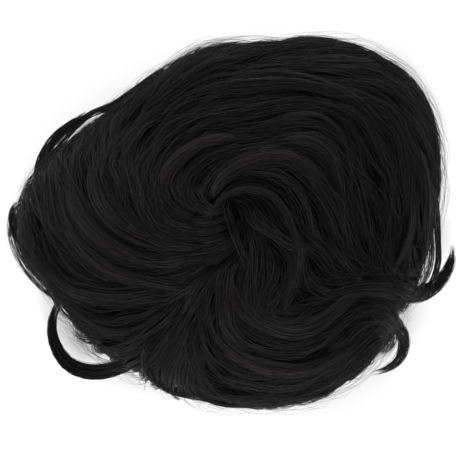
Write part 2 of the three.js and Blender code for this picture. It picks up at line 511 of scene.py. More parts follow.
@dataclass
class MeshParts:
    """Corners, faces and bake map of one piece while it is put together."""

    corners: list[Array] = field(default_factory=list)
    loops: list[Indices] = field(default_factory=list)
    sizes: list[Indices] = field(default_factory=list)
    uvs: list[Array] = field(default_factory=list)
    slots: list[Indices] = field(default_factory=list)
    count: int = 0

    def add(self, corners: Array, faces: Indices, uvs: Array, slot: int) -> None:
        """Adds faces that all have the same number of corners.

        Args:
            corners: New corners, one a row.
            faces: Corner numbers, one face a row.
            uvs: Bake places, face by corner by two.
            slot: Material slot of the faces.
        """
        self.corners.append(corners)
        self.count += len(corners)
        self.add_faces(faces + self.count - len(corners), uvs, slot)

    def add_faces(self, faces: Indices, uvs: Array, slot: int) -> None:
        """Adds faces on corners that are there already.

        Args:
            faces: Corner numbers, one face a row.
            uvs: Bake places, face by corner by two.
            slot: Material slot of the faces.
        """
        self.loops.append(faces.reshape(-1))
        self.sizes.append(np.full(len(faces), faces.shape[1]))
        self.uvs.append(uvs.reshape(-1, 2))
        self.slots.append(np.full(len(faces), slot))

    def build(self, name: str, materials: list[bpy.types.Material]) -> bpy.types.Object:
        """Makes the piece.

        Args:
            name: Name of the piece.
            materials: Materials in the order of the slots.

        Returns:
            The new object, linked to the scene.
        """
        corners = np.concatenate(self.corners)
        loops = np.concatenate(self.loops)
        sizes = np.concatenate(self.sizes)
        mesh = bpy.data.meshes.new(name)
        mesh.vertices.add(len(corners))
        mesh.vertices.foreach_set("co", corners.astype(np.float32).reshape(-1))
        mesh.loops.add(len(loops))
        mesh.loops.foreach_set("vertex_index", loops.astype(np.int32))
        mesh.polygons.add(len(sizes))
        mesh.polygons.foreach_set("loop_start", (np.cumsum(sizes) - sizes).astype(np.int32))
        mesh.polygons.foreach_set("material_index", np.concatenate(self.slots).astype(np.int32))
        mesh.polygons.foreach_set("use_smooth", np.ones(len(sizes), dtype=bool))
        layer = mesh.uv_layers.new(name=BAKE_MAP)
        layer.data.foreach_set("uv", np.concatenate(self.uvs).astype(np.float32).reshape(-1))
        for material in materials:
            mesh.materials.append(material)
        mesh.update(calc_edges=True)
        mesh.validate()
        piece = bpy.data.objects.new(name, mesh)
        bpy.context.scene.collection.objects.link(piece)
        return piece

    def triangles(self) -> int:
        """Number of triangles so far."""
        return int((np.concatenate(self.sizes) - 2).sum())


@dataclass(frozen=True)
class Strands:
    """Strands of hair: paths, strand by ring by three, radii, strand by ring, and tones from 0 to 1."""

    paths: Array
    radius: Array
    tone: Array


@dataclass(frozen=True)
class StrandKit:
    """Turns strand paths into closed, tapered tubes."""

    sides: int = 3
    column_fill: float = 0.9
    end_share: float = 0.01

    def tubes(self, parts: MeshParts, strands_in: Strands, rng: np.random.Generator) -> None:
        """Adds a tube along each strand.

        Args:
            parts: Piece that the tubes go into.
            strands_in: Paths, radii and tones of the strands.
            rng: Source of each tube's turn.
        """
        paths, radius = strands_in.paths, strands_in.radius
        strands, rings = radius.shape
        along = unit(np.gradient(paths, axis=1))
        out = unit(paths - np.array([0.0, 0.0, HEART_HEIGHT]))
        side = unit(np.cross(along, out))
        top = np.cross(side, along)
        turn = rng.uniform(0, 2 * math.pi, (strands, 1, 1)) + np.arange(self.sides) * 2 * math.pi / self.sides
        ring = np.cos(turn)[..., None] * side[:, :, None] + np.sin(turn)[..., None] * top[:, :, None]
        corners = (paths[:, :, None] + radius[:, :, None, None] * ring).reshape(-1, 3)

        number = np.arange(strands * rings * self.sides).reshape(strands, rings, self.sides)
        after = np.roll(number, -1, axis=2)
        walls = np.stack([number[:, :-1], after[:, :-1], after[:, 1:], number[:, 1:]], axis=-1)
        column = np.floor(np.clip(strands_in.tone, 0, 1 - 1 / TONES) * TONES) / TONES
        width = self.column_fill / TONES / self.sides
        u_low = column[:, None, None] + np.arange(self.sides) * width + np.zeros((1, rings - 1, 1))
        v_low = np.broadcast_to(np.arange(rings - 1)[None, :, None] / (rings - 1), u_low.shape)
        u_high, v_high = u_low + width, v_low + 1 / (rings - 1)
        uv = np.stack([u_low, v_low, u_high, v_low, u_high, v_high, u_low, v_high], axis=-1)
        parts.add(corners, walls.reshape(-1, 4), uv, 0)

        base = parts.count - len(corners)
        ends = np.concatenate([number[:, 0, ::-1], number[:, -1]]) + base
        end_u = np.concatenate([column, column])[:, None] + np.arange(self.sides) * width
        end_v = np.concatenate([np.zeros(strands), np.full(strands, 1 - self.end_share)])[:, None]
        end_v = end_v + np.array([0, self.end_share, 0])
        parts.add_faces(ends, np.stack([end_u, end_v], -1), 0)


def closed_grid(parts: MeshParts, outer: Array, inner: Array, slot: int) -> None:
    """Adds the closed body between two surfaces of the same grid.

    Args:
        parts: Piece that the body goes into.
        outer: Row by column by three, in metres.
        inner: The same for the inside.
        slot: Material slot of the faces.
    """
    rows, columns = outer.shape[:2]
    number = np.arange(rows * columns).reshape(rows, columns)
    layer = rows * columns
    across, along = np.meshgrid(np.linspace(0, 1, columns), np.linspace(0, 1, rows))
    place = np.stack([UNDER_TONE + UNDER_STRIP * across, along], -1).reshape(-1, 2)
    place = np.concatenate([place, place])

    def quads(a: Indices, b: Indices, c: Indices, d: Indices) -> Indices:
        """Faces from four like arrays of corner numbers."""
        return np.stack([a, b, c, d], -1).reshape(-1, 4)

    near, far = number[:-1], number[1:]
    first, last = number[:, 0], number[:, -1]
    start, end = number[0], number[-1]
    faces = np.concatenate([
        quads(near[:, :-1], near[:, 1:], far[:, 1:], far[:, :-1]),
        quads(near[:, :-1], far[:, :-1], far[:, 1:], near[:, 1:]) + layer,
        quads(first[:-1], first[1:], first[1:] + layer, first[:-1] + layer),
        quads(last[:-1], last[:-1] + layer, last[1:] + layer, last[1:]),
        quads(start[:-1], start[:-1] + layer, start[1:] + layer, start[1:]),
        quads(end[:-1], end[1:], end[1:] + layer, end[:-1] + layer),
    ])
    corners = np.concatenate([outer.reshape(-1, 3), inner.reshape(-1, 3)])
    a, b, c, d = (corners[faces[:, k]] for k in range(4))
    volume = (a * np.cross(b, c)).sum() + (a * np.cross(c, d)).sum()
    if volume < 0:
        faces = faces[:, ::-1]
    parts.add(corners, faces, place[faces], slot)


@dataclass(frozen=True)
class ClumpStyle:
    """How strands gather in clumps: numbers, sizes in metres, and shares of the clump's length."""

    clumps: int
    strands: int
    rings: int = 10
    length: tuple[float, float] = (70 * MM, 135 * MM)
    half_width: tuple[float, float] = (2.5 * MM, 7.0 * MM)
    depth: float = 1.2 * MM
    radius: tuple[float, float] = (0.12 * MM, 0.19 * MM)
    wave: tuple[float, float] = (0.3 * MM, 1.6 * MM)
    wave_length: tuple[float, float] = (50 * MM, 90 * MM)
    wave_full: float = 0.3
    frizz: float = 0.35 * MM
    frizz_share: tuple[float, float] = (0.2, 1.0)
    frizz_pitch: tuple[float, float] = (0.5, 1.1)
    frizz_twist: float = 1.3
    drift: float = 1.2 * MM
    root_share: float = 0.6
    tip_share: float = 0.6
    widest: float = 0.4
    scatter: float = 0.6
    bulge: float = 1.4
    settle: float = 0.5
    thin_from: float = 0.5
    thin_tip: float = 0.25
    # Painted shade: how much darker the tone of a clump grows for each metre of hollow at its middle
    shade: float = 0.09 / MM
    begin: tuple[float, float] = (0.0, 0.12)
    finish: tuple[float, float] = (0.75, 1.0)

    def gather(self, s: Array) -> Array:
        """Share of a clump's full width at a share of its length."""
        return swell_and_taper(s, self.root_share, self.tip_share, self.widest)

    def thickness(self, s: Array, shape: tuple[int, ...], rng: np.random.Generator) -> Array:
        """Radius of strands at shares of the clump's length, fine at the tip.

        Args:
            s: Shares of the clump's length.
            shape: Shape of one radius for each strand.
            rng: Source of the spread.

        Returns:
            Radii in metres, in the shape of s.
        """
        return rng.uniform(*self.radius, shape) * mix(1.0, self.thin_tip, smoothstep(s, self.thin_from, 1.0))


@dataclass(frozen=True)
class Clumps:
    """Middle lines of clumps on the map, with their lift and length in metres."""

    paths: Array
    lifts: Array
    lengths: Array

    def strands(self, shop: "Workshop", style: ClumpStyle) -> Strands:
        """Strands gathered about the middle lines.

        Args:
            shop: What they are made with.
            style: Numbers and sizes.

        Returns:
            The strands, with the tones of each clump close together.
        """
        dome, rng = shop.dome, shop.rng
        clumps, samples = self.lifts.shape
        each, strand = (clumps, 1, 1), (clumps, style.strands, 1)
        begin, finish = rng.uniform(*style.begin, strand), rng.uniform(*style.finish, strand)
        s = mix(begin, finish, np.linspace(0, 1, style.rings))
        low, f = steps(s, samples)
        owner = np.arange(clumps)[:, None, None]
        before, after = self.paths[owner, low], self.paths[owner, low + 1]
        lift = mix(self.lifts[owner, low], self.lifts[owner, low + 1], f)
        across = aside(unit(after - before))

        gather = style.gather(s)
        side = rng.uniform(-1, 1, strand)
        height = rng.uniform(-1, 1, strand) * np.sqrt(1 - side**2)
        run = 2 * math.pi * s * self.lengths[:, None, None]
        pitch = rng.uniform(*style.wave_length, each)
        bend = rng.uniform(*style.wave, each) * rng.choice([-1.0, 1.0], each)
        wave = bend * np.sin(run / pitch + rng.uniform(0, 2 * math.pi, each))
        wave = wave * smoothstep(s, 0, style.wave_full)
        loose = style.frizz * rng.uniform(*style.frizz_share, strand)
        loose_run = run / pitch / rng.uniform(*style.frizz_pitch, strand)
        loose_run = loose_run + rng.uniform(0, 2 * math.pi, strand)
        wave = wave + rng.normal(0, style.drift, strand) * s**2
        shift = rng.uniform(*style.half_width, each) * gather * side + wave + loose * np.sin(loose_run)
        section = style.scatter * height + style.bulge * (1 - side**2) - style.settle
        rise = style.depth * gather * section + loose * np.cos(style.frizz_twist * loose_run)
        where = mix(before, after, f[..., None]) + across * (shift / dome.map_unit)[..., None]
        points = dome.hair(where, lift + rise)
        thick = style.thickness(s, strand, rng)
        tone = rng.uniform(*CLUMP_TONE, each) + rng.normal(0, STRAND_TONE, strand)
        # Painted light: the tone is made lighter or darker by the spots of painted highlight and shade, and
        # darker as painted shade where the clump's middle lies in a hollow
        middle = self.paths[:, samples // 2]
        tone = tone + (shop.painted_light(middle) - style.shade * dome.dent(middle)).reshape(each)
        return Strands(points.reshape(-1, style.rings, 3), thick.reshape(-1, style.rings), tone.reshape(-1))


def feed(tree: bpy.types.NodeTree, socket: bpy.types.NodeSocket, given: bpy.types.NodeSocket | float) -> None:
    """Links a node's socket to another, or sets its value.

    Args:
        tree: Tree that the node is in.
        socket: Socket to feed.
        given: Output to link, or value to set.
    """
    if isinstance(given, bpy.types.NodeSocket):
        tree.links.new(given, socket)
    else:
        socket.default_value = given


def math_node(
    tree: bpy.types.NodeTree, operation: str, *given: bpy.types.NodeSocket | float
) -> bpy.types.NodeSocket:
    """Adds a node that works out a number.

    Args:
        tree: Tree that it goes into.
        operation: What it does.
        given: What feeds its inputs, in order.

    Returns:
        Its output.
    """
    node = tree.nodes.new("ShaderNodeMath")
    node.operation = operation
    for socket, value in zip(node.inputs, given):
        feed(tree, socket, value)
    return node.outputs[0]


def colour_mix(
    tree: bpy.types.NodeTree, share: bpy.types.NodeSocket, first: Colour, second: Colour
) -> bpy.types.NodeSocket:
    """Adds a node that mixes two colours.

    Args:
        tree: Tree that it goes into.
        share: Share of the second colour.
        first: First colour.
        second: Second colour.

    Returns:
        Its output.
    """
    node = tree.nodes.new("ShaderNodeMix")
    node.data_type = "RGBA"
    for number, value in ((MIX_SHARE, share), (MIX_FIRST, first), (MIX_SECOND, second)):
        feed(tree, node.inputs[number], value)
    return node.outputs[MIX_RESULT]


def new_material(name: str) -> tuple[bpy.types.Material, bpy.types.Node, bpy.types.Node]:
    """Starts a material.

    Args:
        name: Its name.

    Returns:
        The material, its shader, and a node that gives bake places.
    """
    material = bpy.data.materials.new(name)
    material.use_nodes = True
    nodes = material.node_tree.nodes
    uv = nodes.new("ShaderNodeUVMap")
    uv.uv_map = BAKE_MAP
    return material, nodes["Principled BSDF"], uv


@dataclass(frozen=True)
class HairFinish:
    """Black hair fibre with a soft sheen: each strand has a tone of its own, and is lighter at the tip."""

    name: str
    dark_colour: tuple[float, float, float]
    light_colour: tuple[float, float, float]
    rough: tuple[float, float]
    tip_gain: float
    specular: float
    gloss_tint: tuple[float, float, float] = (1.0, 0.95, 0.97)
    ior: float = 1.55

    def material(self, tint: bpy.types.NodeTree) -> bpy.types.Material:
        """Makes the material.

        Args:
            tint: Node group that tints strands.

        Returns:
            The new material.
        """
        material, shader, uv = new_material(self.name)
        tree = material.node_tree
        shader.inputs["Specular IOR Level"].default_value = self.specular
        shader.inputs["Specular Tint"].default_value = (*self.gloss_tint, 1)
        shader.inputs["IOR"].default_value = self.ior
        group = tree.nodes.new("ShaderNodeGroup")
        group.node_tree = tint
        feed(tree, group.inputs["Place"], uv.outputs["UV"])
        feed(tree, group.inputs["Dark Colour"], (*self.dark_colour, 1))
        feed(tree, group.inputs["Light Colour"], (*self.light_colour, 1))
        feed(tree, group.inputs["Tip Gain"], self.tip_gain)
        feed(tree, group.inputs["Smoothest"], self.rough[0])
        feed(tree, group.inputs["Roughest"], self.rough[1])
        feed(tree, shader.inputs["Base Color"], group.outputs["Colour"])
        feed(tree, shader.inputs["Roughness"], group.outputs["Roughness"])
        return material


@dataclass(frozen=True)
class NetFinish:
    """Matt knitted net of the cap, its loops drawn by two crossed waves."""

    name: str = "cap_net"
    colour: tuple[float, float, float] = (0.012, 0.012, 0.013)
    loop_colour: tuple[float, float, float] = (0.03, 0.03, 0.032)
    loops_round: float = 260.0
    loops_down: float = 80.0
    rough: float = 0.85
    relief: float = 0.6
    loop_height: float = 0.4 * MM

    def material(self) -> bpy.types.Material:
        """Makes the material.

        Returns:
            The new material.
        """
        material, shader, uv = new_material(self.name)
        tree = material.node_tree
        shader.inputs["Roughness"].default_value = self.rough
        scale = tree.nodes.new("ShaderNodeVectorMath")
        scale.operation = "MULTIPLY"
        feed(tree, scale.inputs[0], uv.outputs["UV"])
        feed(tree, scale.inputs[1], (self.loops_round, self.loops_down, 1))
        split = tree.nodes.new("ShaderNodeSeparateXYZ")
        feed(tree, split.inputs["Vector"], scale.outputs["Vector"])
        waves = [math_node(tree, "PINGPONG", split.outputs[axis], 1.0) for axis in ("X", "Y")]
        knot = math_node(tree, "MULTIPLY", *waves)
        colour = colour_mix(tree, knot, (*self.colour, 1), (*self.loop_colour, 1))
        feed(tree, shader.inputs["Base Color"], colour)
        bump = tree.nodes.new("ShaderNodeBump")
        bump.inputs["Strength"].default_value = self.relief
        bump.inputs["Distance"].default_value = self.loop_height
        feed(tree, bump.inputs["Height"], knot)
        feed(tree, shader.inputs["Normal"], bump.outputs["Normal"])
        return material


def strand_tint(tip_power: float = 1.5) -> bpy.types.NodeTree:
    """Node group that gives each strand its own tone and roughness from its bake place.

    Args:
        tip_power: How late along a strand it grows lighter.

    Returns:
        The node group.
    """
    tree = bpy.data.node_groups.new("strand_tint", "ShaderNodeTree")
    sockets = (
        ("Place", "INPUT", "NodeSocketVector"),
        ("Dark Colour", "INPUT", "NodeSocketColor"),
        ("Light Colour", "INPUT", "NodeSocketColor"),
        ("Tip Gain", "INPUT", "NodeSocketFloat"),
        ("Smoothest", "INPUT", "NodeSocketFloat"),
        ("Roughest", "INPUT", "NodeSocketFloat"),
        ("Colour", "OUTPUT", "NodeSocketColor"),
        ("Roughness", "OUTPUT", "NodeSocketFloat"),
    )
    for name, way, kind in sockets:
        tree.interface.new_socket(name, in_out=way, socket_type=kind)
    given = tree.nodes.new("NodeGroupInput")
    result = tree.nodes.new("NodeGroupOutput")

    split = tree.nodes.new("ShaderNodeSeparateXYZ")
    feed(tree, split.inputs["Vector"], given.outputs["Place"])
    tone = math_node(tree, "SNAP", split.outputs["X"], 1 / TONES)
    colour = colour_mix(tree, tone, given.outputs["Dark Colour"], given.outputs["Light Colour"])
    ageing = math_node(tree, "POWER", split.outputs["Y"], tip_power)
    gain = math_node(tree, "MULTIPLY_ADD", ageing, given.outputs["Tip Gain"], 1.0)
    shade = tree.nodes.new("ShaderNodeVectorMath")
    shade.operation = "SCALE"
    feed(tree, shade.inputs[0], colour)
    feed(tree, shade.inputs["Scale"], gain)
    feed(tree, result.inputs["Colour"], shade.outputs["Vector"])

    rough = tree.nodes.new("ShaderNodeMapRange")
    feed(tree, rough.inputs["Value"], tone)
    feed(tree, rough.inputs["To Min"], given.outputs["Roughest"])
    feed(tree, rough.inputs["To Max"], given.outputs["Smoothest"])
    feed(tree, result.inputs["Roughness"], rough.outputs["Result"])
    return tree


@dataclass(frozen=True)
class Finishes:
    """Materials of the wig, made once."""

    hair: bpy.types.Material
    # Under-hair, dark with painted shade
    under: bpy.types.Material
    # Lit copy of the hair material: its lighter colour is painted highlight
    painted_light: bpy.types.Material
    net: bpy.types.Material

    @classmethod
    def make(cls) -> "Finishes":
        """Makes the materials that all the pieces share.

        Returns:
            The materials.
        """
        hair = HairFinish(
            "black_hair", dark_colour=(0.0018, 0.0017, 0.0017), light_colour=(0.0088, 0.0077, 0.0083),
            rough=(0.36, 0.56), tip_gain=0.35, specular=0.14,
        )
        # Under-hair: its darker colours and lack of specular are painted shade of the depths of the hair
        under = HairFinish(
            "painted_shade_under_hair", dark_colour=(0.0021, 0.002, 0.002), light_colour=(0.0036, 0.0033, 0.0034),
            rough=(0.6, 0.7), tip_gain=0.0, specular=0.0,
        )
        # Lit copy of the hair: its lighter colours are painted highlight, and its higher specular and lower
        # roughness make it glossier
        painted_light = HairFinish(
            "painted_highlight_hair", dark_colour=(0.0034, 0.003, 0.0032), light_colour=(0.0104, 0.009, 0.0097),
            rough=(0.34, 0.52), tip_gain=0.35, specular=0.17,
        )
        tint = strand_tint()
        return cls(hair.material(tint), under.material(tint), painted_light.material(tint), NetFinish().material())


@dataclass(frozen=True)
class PaintedLightSpot:
    """Spot of painted highlight or painted shade, which makes the tone lighter or darker than the rest: its
    pixel, spread in pixels and change of tone.
    """

    across: float
    down: float
    spread: float
    change: float


# Spots of painted highlight and painted shade, lighter or darker than the rest of the hair
PAINTED_LIGHT_SPOTS = (
    PaintedLightSpot(365, 215, 60, -0.8),
    PaintedLightSpot(385, 285, 40, -0.7),
    PaintedLightSpot(335, 115, 45, -0.6),
    PaintedLightSpot(288, 112, 35, -0.6),
    PaintedLightSpot(290, 205, 30, 0.6),
    PaintedLightSpot(180, 145, 45, 0.45),
    PaintedLightSpot(130, 270, 45, 0.5),
    PaintedLightSpot(250, 280, 32, 0.6),
)


@dataclass
class Workshop:
    """What every piece is made with, and a source of chance that starts anew with each."""

    dome: Dome
    cap: CapForm
    whorl: Whorl
    photo: PhotoFrame
    kit: StrandKit
    finishes: Finishes
    seed: int = 20
    cover: Cover = field(default_factory=Cover)
    pieces: int = 0
    triangles: int = 0
    rng: np.random.Generator = field(init=False)

    def __post_init__(self) -> None:
        """Starts the first piece's chance."""
        self.rng = np.random.default_rng([self.seed, self.pieces])

    def painted_light(self, place: Array) -> Array:
        """How much lighter or darker than the rest the hair is painted, as painted highlight and painted
        shade.

        Args:
            place: Map places, one a row.

        Returns:
            Changes of tone, one a row.
        """
        change = np.zeros(len(place))
        for spot in PAINTED_LIGHT_SPOTS:
            centre = self.photo.places(self.dome, np.array([[spot.across, spot.down]]), 0.0)
            away = np.linalg.norm(place - centre, axis=-1) * self.dome.map_unit / self.photo.pixel
            change += spot.change * np.exp(-((away / spot.spread) ** 2))
        return change

    def finish_piece(
        self, parts: MeshParts, name: str, node: str | None = None, painted_highlight: bool = False
    ) -> bpy.types.Object:
        """Makes a piece of hair that rides with the wig.

        Args:
            parts: Its mesh, with the under-hair, if any, in slot 1.
            name: Name of the piece.
            node: CAD node that it stands for, if any.
            painted_highlight: Whether its strands take the lit copy of the hair material, whose lighter colour
                is painted highlight and whose gloss is stronger.

        Returns:
            The new piece.
        """
        strands = self.finishes.painted_light if painted_highlight else self.finishes.hair
        materials = [strands, self.finishes.under][: max(int(slots.max()) for slots in parts.slots) + 1]
        return self.register(parts.build(name, materials), node, parts.triangles())

    def register(
        self, piece: bpy.types.Object, node: str | None, triangles: int
    ) -> bpy.types.Object:
        """Says what a piece rides on, stands for and is made of.

        Args:
            piece: The piece.
            node: CAD node that it stands for, if any.
            triangles: Number of its triangles.

        Returns:
            The same piece.
        """
        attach(piece, "root")
        if node is not None:
            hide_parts(node)
        self.triangles += triangles
        self.pieces += 1
        self.rng = np.random.default_rng([self.seed, self.pieces])
        log.info("%s: %d triangles", piece.name, triangles)
        return piece


@dataclass(frozen=True)
class Flick:
    """How far tips of clumps turn out, in millimetres: middle and spread, the least and the most."""

    middle: float
    spread: float
    least: float
    most: float

    def draw(self, rng: np.random.Generator, count: int) -> Array:
        """Flicks of clumps in metres, one a row."""
        return np.clip(rng.normal(self.middle, self.spread, (count, 1)), self.least, self.most) * MM


@dataclass(frozen=True)
class Fringe:
    """Hair that hangs from the widest part of a lock to its hem: shares of the lock, sizes in metres."""

    style: ClumpStyle
    root: tuple[float, float] = (0.62, 0.84)
    tip: tuple[float, float] = (0.965, 1.0)
    sway: float = 0.15
    root_depth: float = 4 * MM
    lift: tuple[float, float] = (-1 * MM, 2 * MM)
    risen: float = 0.3
    turn_from: float = 0.6
    flick: Flick = Flick(1.5, 2.5, -1.0, 7.0)


@dataclass
class BaseLock:
    """Lock between two borders, from the whorl to the hem: clumped strands over an under-form that is dark
    with painted shade.
    """

    name: str
    border: Border
    after: Border
    style: ClumpStyle
    hem: Fringe
    sink: float = 7 * MM
    shallow: float = 4.5 * MM
    shallow_band: tuple[float, float] = (0.5, 0.72)
    deepest: float = 12 * MM
    tuck: float = 6 * MM
    tuck_band: tuple[float, float] = (0.86, 0.985)
    seat: float = 0.8 * MM
    rooted: float = 0.92
    crowd: float = 4.0
    crowd_length: float = 0.14
    stray: float = math.radians(5)
    choices: int = 4
    samples: int = 32
    turn_under: tuple[float, float] = (0.94, 1.0)
    shortest: int = 4
    ride: tuple[float, float] = (-1.5 * MM, 4 * MM)
    flick: Flick = Flick(2.0, 3.0, -1.0, 8.0)
    flick_band: tuple[float, float] = (0.78, 1.0)
    dimple_rings: float = 2.5
    root_depth: tuple[float, float] = (1.5 * MM, 5 * MM)
    root_band: tuple[float, float] = (0.1, 0.35)
    risen: float = 0.25
    tip_from: float = 0.7
    tip_depth: float = 2.5 * MM

    def place(self, whorl: Whorl, t: Array, w: Array) -> Array:
        """Map place of a point of the lock.

        Args:
            whorl: Point that the lock leaves from.
            t: Share of the way from the whorl to the hem.
            w: Share across the lock, from -1 to 1.

        Returns:
            Places with two numbers along the last axis.
        """
        ring = mix(whorl.ring, 1.0, t)
        right = np.radians(mix(self.border.root, self.border.hem, t))
        left = np.radians(mix(self.after.root, self.after.hem, t))
        angle = mix(right, left, (w + 1) / 2)
        drift = 1 - smoothstep(t)
        u = whorl.centre[0] * drift + ring * np.cos(angle)
        v = whorl.centre[1] * drift + ring * np.sin(angle)
        return np.stack(np.broadcast_arrays(u, v), -1)

    def guide(self, whorl: Whorl) -> tuple[Array, Array]:
        """Places and headings along the lock, which lead the flow.

        Args:
            whorl: Point that the lock leaves from.

        Returns:
            Places and unit headings, one a row.
        """
        t, w = np.meshgrid(GUIDE_SHARES, GUIDE_COLUMNS, indexing="ij")
        here = self.place(whorl, t, w)
        there = self.place(whorl, t + GUIDE_STEP, w)
        return here.reshape(-1, 2), unit(there - here).reshape(-1, 2)

    def roots(self, shop: Workshop) -> tuple[Array, Array]:
        """How much hair is rooted along the lock: its area, and more of it towards the whorl.

        Args:
            shop: What it is made with.

        Returns:
            Shares of the way along the lock, and the hair rooted at each.
        """
        t = np.linspace(0, self.rooted, self.samples + 1)
        right, left = (
            shop.dome.points(self.place(shop.whorl, t, np.full_like(t, w)), np.zeros_like(t)) for w in (-1, 1)
        )
        step = np.linalg.norm(np.gradient((right + left) / 2, axis=0), axis=-1)
        crowd = 1 + self.crowd * np.exp(-t / self.crowd_length)
        return t, np.linalg.norm(left - right, axis=-1) * step * crowd

    def clumps(self, shop: Workshop, flow: Flow) -> Clumps:
        """Clumps rooted over the lock that follow the flow: they rise, lie on the rest and tuck in.

        Args:
            shop: What it is made with.
            flow: Lie of the hair.

        Returns:
            The clumps.
        """
        rng, n = shop.rng, self.style.clumps
        t, hair = self.roots(shop)
        draws = n * self.choices
        t = np.interp((np.arange(draws) + rng.uniform(0, 1, draws)) / draws, np.cumsum(hair) / hair.sum(), t)
        start = self.place(shop.whorl, t, rng.uniform(-1, 1, draws))
        length = rng.uniform(*self.style.length, draws)
        stray = np.clip(rng.normal(0, self.stray, draws), -2 * self.stray, 2 * self.stray)
        paths = flow.follow(start, length / self.samples / shop.dome.map_unit, self.samples, stray)
        chosen = shop.cover.choose(paths, n)
        paths, length = paths[chosen], length[chosen]
        over = np.linalg.norm(paths, axis=-1) > rng.uniform(*self.turn_under, (n, 1))
        limit = np.maximum(np.where(over.any(1), over.argmax(1) - 1, self.samples), self.shortest)
        s = np.linspace(0, 1, self.samples + 1)[None]
        at = s * limit[:, None]
        low = np.minimum(at.astype(int), self.samples - 1)
        owner = np.arange(n)[:, None]
        paths = mix(paths[owner, low], paths[owner, low + 1], (at - low)[..., None])

        ride = rng.uniform(*self.ride, (n, 1))
        flick = self.flick.draw(rng, n)
        hem = smoothstep(np.linalg.norm(paths, axis=-1), *self.flick_band)
        away = np.linalg.norm(paths - np.array(shop.whorl.centre), axis=-1)
        dimple = shop.whorl.dimple * (1 - smoothstep(away, 0, shop.whorl.ring * self.dimple_rings))
        depth = mix(*self.root_depth, smoothstep(away[:, :1], *self.root_band))
        rise = depth * (smoothstep(s, 0, self.risen) - 1)
        tip = smoothstep(s, self.tip_from, 1.0) * mix(-self.tip_depth, flick, hem)
        return Clumps(paths, ride + rise + tip - dimple, length * limit / self.samples)

    def fringe(self, shop: Workshop) -> Clumps:
        """Clumps that hang from the widest part down to the hem, with uneven ends.

        Args:
            shop: What it is made with.

        Returns:
            The clumps.
        """
        rng, hem, n = shop.rng, self.hem, self.hem.style.clumps
        s = np.linspace(0, 1, self.samples + 1)[None]
        t = mix(rng.uniform(*hem.root, (n, 1)), rng.uniform(*hem.tip, (n, 1)), s)
        w = side_by_side(rng, n) + rng.normal(0, hem.sway, (n, 1)) * s
        paths = self.place(shop.whorl, t, w)
        flick = hem.flick.draw(rng, n)
        lifts = mix(-hem.root_depth, rng.uniform(*hem.lift, (n, 1)), smoothstep(s, 0, hem.risen))
        lifts = lifts + flick * smoothstep(s, hem.turn_from, 1)
        return Clumps(paths, lifts, lengths_of(shop.dome.hair(paths, lifts)))

    def under_form(self, shop: Workshop, parts: MeshParts) -> None:
        """Adds the body of hair below the strands, dark with painted shade.

        Args:
            shop: What it is made with.
            parts: Piece that it goes into.
        """
        t, w = np.meshgrid(UNDER_ROWS, UNDER_COLUMNS, indexing="ij")
        place = self.place(shop.whorl, t, w)
        dimple = shop.whorl.dimple * (1 - smoothstep(t, 0, shop.whorl.dimple_length))
        shallow = self.shallow * smoothstep(np.linalg.norm(place, axis=-1), *self.shallow_band)
        tuck = self.tuck * smoothstep(t, *self.tuck_band)
        lift = shallow - self.sink - dimple - tuck + shop.dome.swell(place) - shop.dome.dent(place)
        outer = shop.dome.points(place, np.maximum(lift, -self.deepest))
        closed_grid(parts, outer, shop.cap.points(place, self.seat), 1)

    def build(self, shop: Workshop, flow: Flow) -> bpy.types.Object:
        """Makes the lock and says what it stands for.

        Args:
            shop: What it is made with.
            flow: Lie of the hair.

        Returns:
            The new piece.
        """
        parts = MeshParts()
        shop.kit.tubes(parts, self.clumps(shop, flow).strands(shop, self.style), shop.rng)
        shop.kit.tubes(parts, self.fringe(shop).strands(shop, self.hem.style), shop.rng)
        self.under_form(shop, parts)
        return shop.finish_piece(parts, f"{self.name}_strands", self.name)


